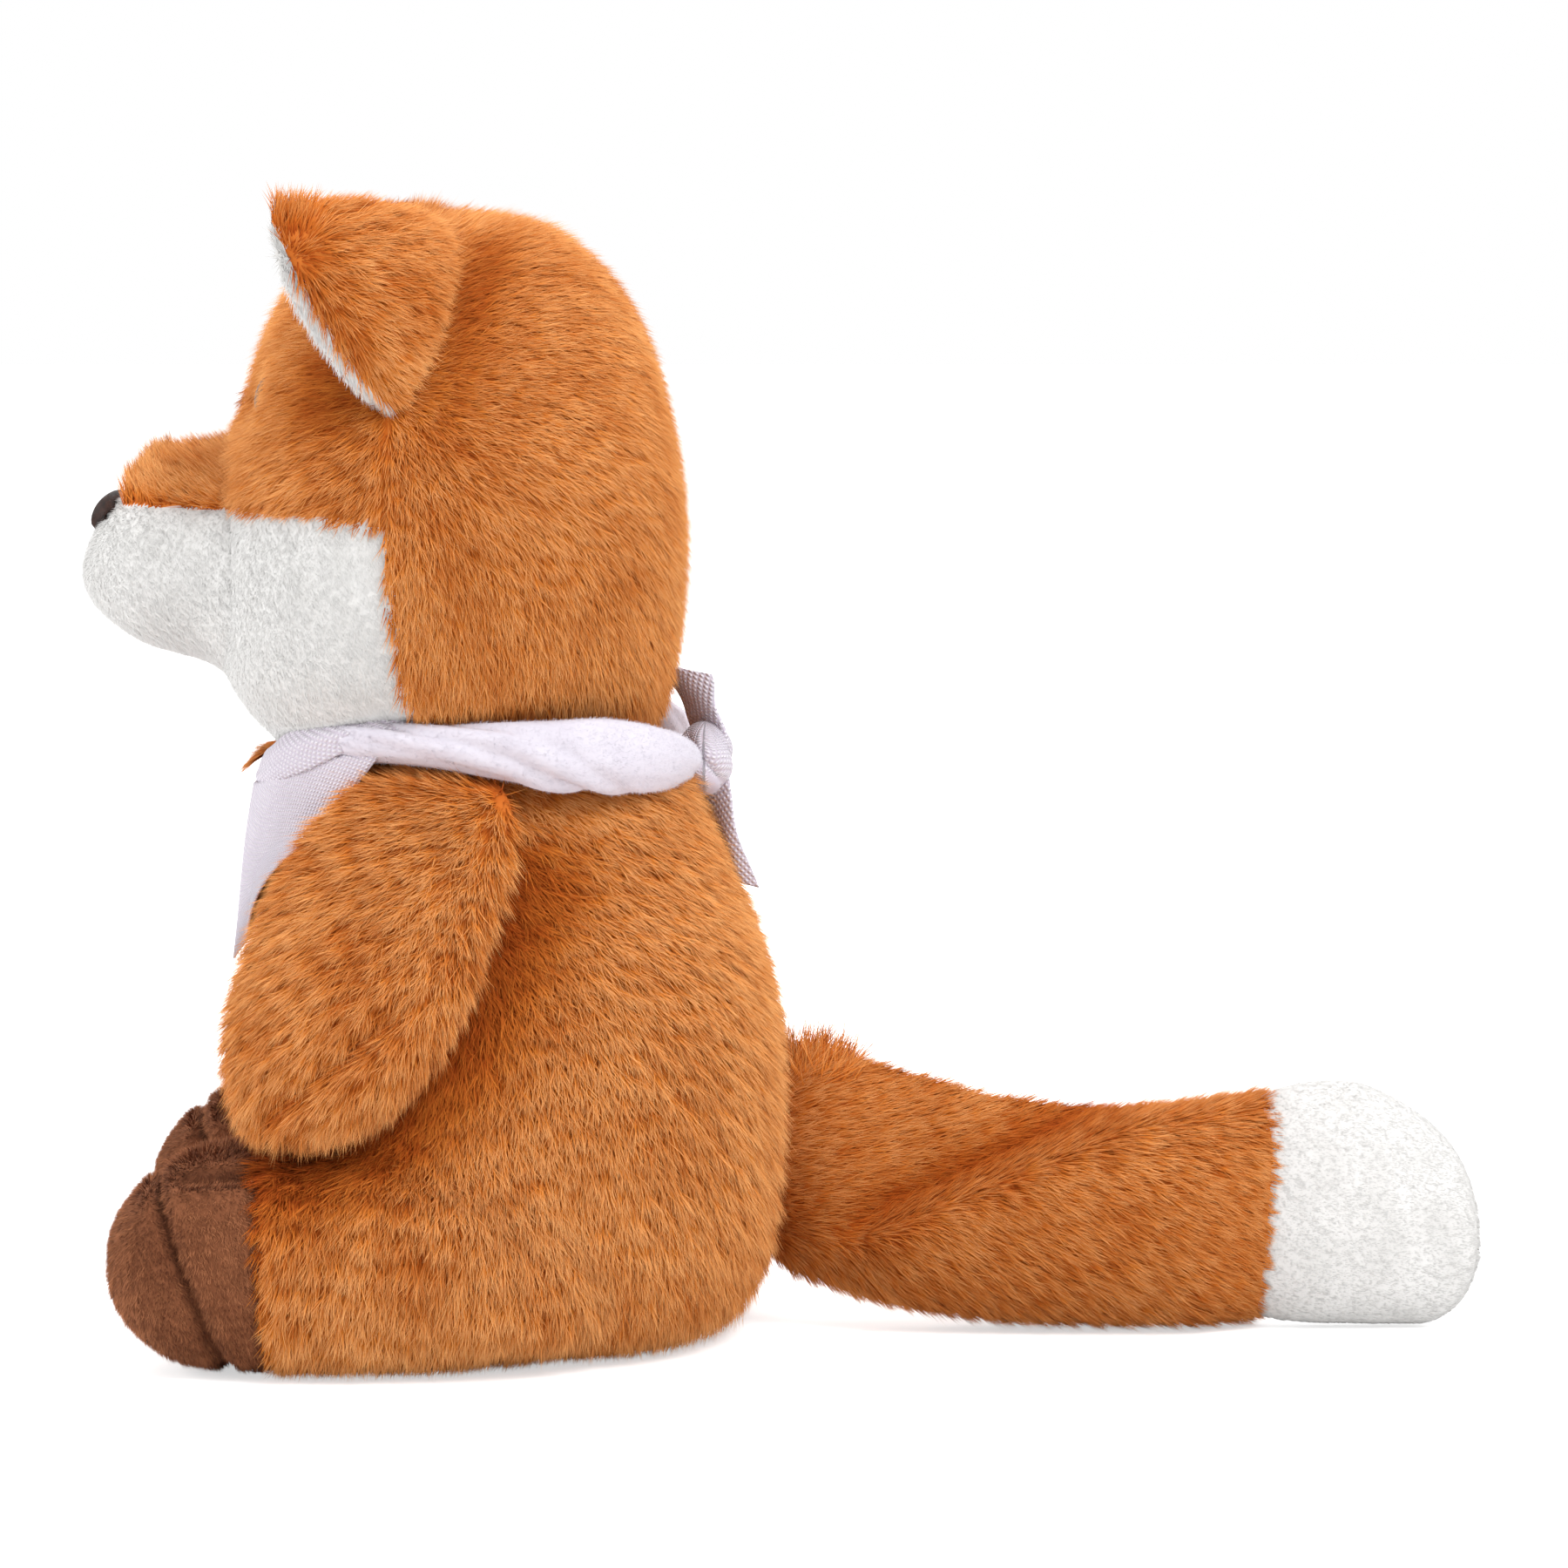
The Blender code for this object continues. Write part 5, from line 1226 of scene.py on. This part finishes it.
def flap_grid(rows=60, columns=80):
    """From the fold line to the tip: straight lines drawn together, pushed out to the chest plus 4.2 mm,
    with two folds that fade towards the edge."""
    across = np.linspace(-1, 1, columns)[None]
    down = np.linspace(0, 1, rows)[:, None]
    _, bottom, stand = band_at(across * FLAP_REACH)
    ring = neck_ring(across * FLAP_REACH * math.pi, stand + 1.2 + 2.2 * (1 - np.abs(across)) ** 2)
    top = np.stack([ring[..., 0], ring[..., 1], bottom + 0.6 + 1.4 * across**2], axis=-1)
    grid = top * (1 - down[..., None]) + FLAP_TIP * down[..., None]
    grid[..., 0] += FLAP_BOW * np.abs(across) ** 2 * np.sign(across) * np.sin(math.pi * down ** 0.8)
    x, z = grid[..., 0], grid[..., 2]
    front, wide = (np.interp(z, TRUNK_SIDES[:, 0], TRUNK_SIDES[:, column]) for column in (1, 3))
    chest = front * (1 - np.minimum(np.abs(x) / wide, 0.97) ** TRUNK_POWER) ** (1 / TRUNK_POWER)
    wave = np.sin(7.5 * across + 0.8) * (1 - 0.7 * np.abs(across))
    wave = wave * np.sin(math.pi * np.minimum(down * 1.4, 1) * 0.75)
    grid[..., 1] = np.minimum(grid[..., 1], chest - FLAP_CLEAR) - 0.7 * wave * (1 - down)
    return grid


flap_points = flap_grid()
flap = cloth_object("bandana_flap_cloth", flap_points, flap_knit, 0.45, closed=False)
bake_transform(flap)
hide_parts("bandana_flap")

# %% [markdown]
# The knot is a small wrapped lump, from which one end stands up and one hangs down. Both ends are
# turned half sideways, so that their width shows from the side as in the photo.

# %% Knot and ends
KNOT = np.array([0.0, 31.8, 97.0])
KNOT_SIZE = (8.4, 4.4, 6.2)  # half width, half depth and half height


def knot_grid(rows=48, around=64):
    """An ellipsoid with wrapped creases: its radius swells by the sine of 2 angle + 2.6 rise, sharpened
    by the power 0.6."""
    rise = np.linspace(-math.pi / 2, math.pi / 2, rows)[:, None]
    angle = turns(around)
    swell = 1 + 0.2 * (np.abs(np.sin(2 * angle + 2.6 * rise)) ** 0.6 - 0.6) * np.cos(rise)
    wide, deep, high = KNOT_SIZE
    return KNOT + np.stack([wide * np.cos(rise) * np.cos(angle) * swell,
                            deep * np.cos(rise) * np.sin(angle) * swell,
                            high * np.sin(rise) + 0 * angle], axis=-1)


def end_grid(length, lean, wide_start, wide_end, way, turned, rows=40, columns=20):
    """A strip that leaves the knot up or down, leans back, is turned about the upright and curls across."""
    along = np.linspace(0, 1, rows)[:, None]
    across = np.linspace(-1, 1, columns)[None]
    wide = (wide_start * (1 - along) + wide_end * along) / 2 * (1 + 0.06 * np.sin(9 * along))
    turn = np.radians(turned) * (0.7 + 0.5 * along)
    curl = 1.4 * across**2 * (1 - 0.4 * along) + 0.5 * np.sin(5 * along + 2 * across)
    x = across * wide * np.cos(turn) - curl * np.sin(turn)
    y = lean * along**1.3 + across * wide * np.sin(turn) + curl * np.cos(turn)
    z = way * (length * along + 2.6) - 0.9 * across * along
    return KNOT + np.stack([x, y, z], axis=-1)


knot = cloth_object("bandana_knot_cloth", knot_grid(), mesh_knit, 0.3, closed=True)
upper = cloth_object("bandana_end_up", end_grid(12.6, -4.4, 8.5, 12.0, 1, 42), mesh_knit, 0.6, closed=False)
lower = cloth_object("bandana_end_down", end_grid(18.5, 6.4, 8.5, 4.6, -1, 46), mesh_knit, 0.6, closed=False)
for piece, word in ((knot, "bandana_knot"), (upper, "bandana_end_upper"), (lower, "bandana_end_lower")):
    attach(piece, "torso")
    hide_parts(word)

# %% [markdown]
# The nose is satin stitch: thick dark thread laid side by side over a small padded patch. The
# eyes are domes of black moulded plastic, the glossiest thing on the toy.


# %% Thread and plastics
def thread():
    """Dark polyester thread, streaked along each stitch."""
    made, tree, shader = blank("dark_satin_stitch_thread")
    place = node(tree, "ShaderNodeTexCoord").outputs["Object"]
    streaks = node(tree, "ShaderNodeTexNoise", {"Vector": place}, Scale=900.0).outputs["Fac"]
    shade = node(tree, "ShaderNodeValToRGB", {"Fac": streaks}, ((0.3, "#160B08"), (0.7, "#3A2118")))
    tree.links.new(shade.outputs["Color"], shader.inputs["Base Color"])
    settle(shader, Roughness=0.6, Specular_IOR_Level=0.2, IOR=POLYESTER_INDEX)
    return made


def moulded(name, dark, light, roughness, index):
    """Moulded plastic: a faint cloudiness, 2.5 mm across, between two near colours."""
    made, tree, shader = blank(name)
    place = node(tree, "ShaderNodeTexCoord").outputs["Object"]
    cloud = node(tree, "ShaderNodeTexNoise", {"Vector": place}, Scale=400.0).outputs["Fac"]
    shade = node(tree, "ShaderNodeValToRGB", {"Fac": cloud}, ((0.3, dark), (0.7, light)))
    tree.links.new(shade.outputs["Color"], shader.inputs["Base Color"])
    settle(shader, Roughness=roughness, IOR=index)
    return made


def muzzle_skin(along, angle):
    """Point of the muzzle at a share of its length and an angle from the top."""
    table = smooth(200, MUZZLE)
    row = along * (len(table) - 1)
    y, top, bottom, wide = (np.interp(row, np.arange(len(table)), table[:, column]) for column in range(4))
    up, across = rounded(angle, MUZZLE_POWER)
    return np.stack([across * wide, y + 0 * up, (top + bottom) / 2 + up * (top - bottom) / 2], axis=-1)


# %% Nose and eyes
THREAD_RADIUS = 0.33
EYE_BACK, WASHER_BACK = 3.4, 6.7  # mm behind the face's cloth at the socket


def nose_stitches(count=34, steps=14, sides=6):
    """Stitches side by side across the nose, longest in the middle: each a tube that arches over the pad
    from back to front, by the square root of a sine."""
    points, faces = [], []
    for number in range(count):
        spread = (number + 0.5) / count * 2 - 1
        angle = spread * math.radians(33)
        along = np.linspace(0.60 + 0.03 * spread**2, 0.765 - 0.10 * abs(spread) ** 1.6, steps)
        line = muzzle_skin(along, np.full(steps, angle))
        arch = np.sin(np.linspace(0, math.pi, steps)) ** 0.5
        away = unit(line - np.array([0.0, -58.0, 131.0]))
        line = line + away * (0.3 + 1.9 * arch * (1 - 0.6 * spread**2))[:, None]
        way = unit(np.gradient(line, axis=0))
        side = unit(np.cross(way, away))
        up = np.cross(side, way)
        turn = turns(sides)[..., None]
        ring = line[:, None] + THREAD_RADIUS * (np.cos(turn) * side[:, None] + np.sin(turn) * up[:, None])
        points.append(ring.reshape(-1, 3))
        faces.append(triangles_of(steps, sides, closed=True) + number * steps * sides)
    return np.concatenate(points), np.concatenate(faces)


def plain_object(name, points, faces, surface):
    """A smooth mesh from arrays, in metres."""
    mesh = bpy.data.meshes.new(name)
    mesh.from_pydata((points * MM).tolist(), [], faces.tolist())
    mesh.shade_smooth()
    mesh.materials.append(surface)
    return placed(name, mesh)


nose = plain_object("nose_stitching", *nose_stitches(), thread())
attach(nose, "head")
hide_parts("nose")
gloss = moulded("black_moulded_abs", "#0A0908", "#14110F", 0.12, 1.54)
pale_plastic = moulded("natural_moulded_nylon", "#D8D4CA", "#E6E2D8", 0.5, 1.53)


def dome(name, centre, facing, radius, height, back, surface, rows=24, around=48):
    """A turned profile: radius sin t and height cos t, closed by a straight skirt to a flat back."""
    t = np.concatenate([np.linspace(0.02, math.pi / 2, rows), [math.pi / 2, math.pi / 2]])
    out = radius * np.sin(t)
    up = height * np.cos(t)
    up[-2:] = back
    out[-1] = 0.02
    facing = unit(np.asarray(facing, float))
    side = unit(np.cross(facing, [0.0, 0.0, 1.0]))
    other = np.cross(side, facing)
    angle = turns(around)[..., None]
    ring = np.cos(angle) * side + np.sin(angle) * other
    grid = centre + up[:, None, None] * facing + out[:, None, None] * ring
    return plain_object(name, grid.reshape(-1, 3), triangles_of(len(t), around, closed=True), surface)


for side, sign in SIDES:
    low, high = (np.array(corner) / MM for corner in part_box(f"{side}_eye"))
    print(f"{side} eye of the frame:", np.round(low, 1), np.round(high, 1))
    socket, facing = EYE_SOCKET * mirror(sign), np.array([0.30 * sign, -1.0, 0.12])
    eye = dome(f"{side}_eye_dome", socket + np.array([0, EYE_BACK, 0]), facing, 4.5, 2.9, -1.2, gloss)
    washer = dome(f"{side}_washer_disc", socket + np.array([0, WASHER_BACK, 0]), facing, 4.4, 0.6, -0.6,
                  pale_plastic)
    for piece, word in ((eye, "eye"), (washer, "eye_washer")):
        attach(piece, "head")
        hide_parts(f"{side}_{word}")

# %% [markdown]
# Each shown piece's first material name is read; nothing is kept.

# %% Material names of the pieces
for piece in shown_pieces():
    if piece.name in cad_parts:
        continue
    surface = piece.data.materials[0].name

# %% Flat size of the flap
top_edge = np.linalg.norm(np.diff(flap_points[0], axis=0), axis=1).sum()
middle_line = np.linalg.norm(np.diff(flap_points[:, flap_points.shape[1] // 2], axis=0), axis=1).sum()
print("flap: top edge", round(top_edge, 1), "mm, middle line", round(middle_line, 1), "mm")

# %% [markdown]
# The floor and the backdrop are plain and pale. They look white to the camera, and the lamps stay
# soft and at a level where a colour shows about as it is written.

# %% Floor, light and camera
floor_mesh = bpy.data.meshes.new("floor")
REACH = 6.0
corners = [(-REACH, -REACH, 0), (REACH, -REACH, 0), (REACH, REACH, 0), (-REACH, REACH, 0)]
floor_mesh.from_pydata(corners, [], [(0, 1, 2, 3)])
floor = placed("floor", floor_mesh)
pale, tree, shader = blank("pale_studio_floor")
settle(shader, Base_Color=linear("#F4F4F4"), Roughness=0.9, Emission_Color=(1, 1, 1, 1))
seen = node(tree, "ShaderNodeLightPath").outputs["Is Camera Ray"]
lift = node(tree, "ShaderNodeMath", {0: seen}, operation="MULTIPLY")
lift.inputs[1].default_value = 0.58
tree.links.new(lift.outputs[0], shader.inputs["Emission Strength"])
floor_mesh.materials.append(pale)

world = bpy.data.worlds.new("studio")
world.use_nodes = True
bpy.context.scene.world = world
tree = world.node_tree
back = tree.nodes["Background"]
back.inputs["Color"].default_value = (1, 1, 1, 1)
seen = node(tree, "ShaderNodeLightPath").outputs["Is Camera Ray"]
level = node(tree, "ShaderNodeMapRange", {"Value": seen}, To_Min=0.66, To_Max=1.0)
tree.links.new(level.outputs["Result"], back.inputs["Strength"])


def lamp(name, place, aim, size, power):
    """A square area lamp that faces a point."""
    data = bpy.data.lights.new(name, "AREA")
    data.size = size
    data.energy = power
    made = placed(name, data)
    made.location = place
    made.rotation_euler = (Vector(aim) - Vector(place)).to_track_quat("-Z", "Y").to_euler()


MIDDLE = (0.0, 0.03, 0.09)
lamp("key", (1.0, 0.75, 1.3), MIDDLE, 0.7, 19)
lamp("top", (-0.1, 0.1, 1.7), MIDDLE, 1.2, 11)
lamp("front", (0.3, -1.5, 0.7), MIDDLE, 0.9, 12.5)
lamp("far side", (-1.4, -0.1, 0.8), MIDDLE, 0.9, 9)

# %% Camera at the photo's angle
camera = placed("camera", bpy.data.cameras.new("camera"))
camera.data.lens = 137
camera.data.sensor_width = 36
camera.location = (1.0, 0.045, 0.19)
camera.rotation_euler = (Vector((0.0, 0.045, 0.0925)) - camera.location).to_track_quat("-Z", "Y").to_euler()
bpy.context.scene.camera = camera
bpy.context.scene.view_settings.view_transform = "Standard"
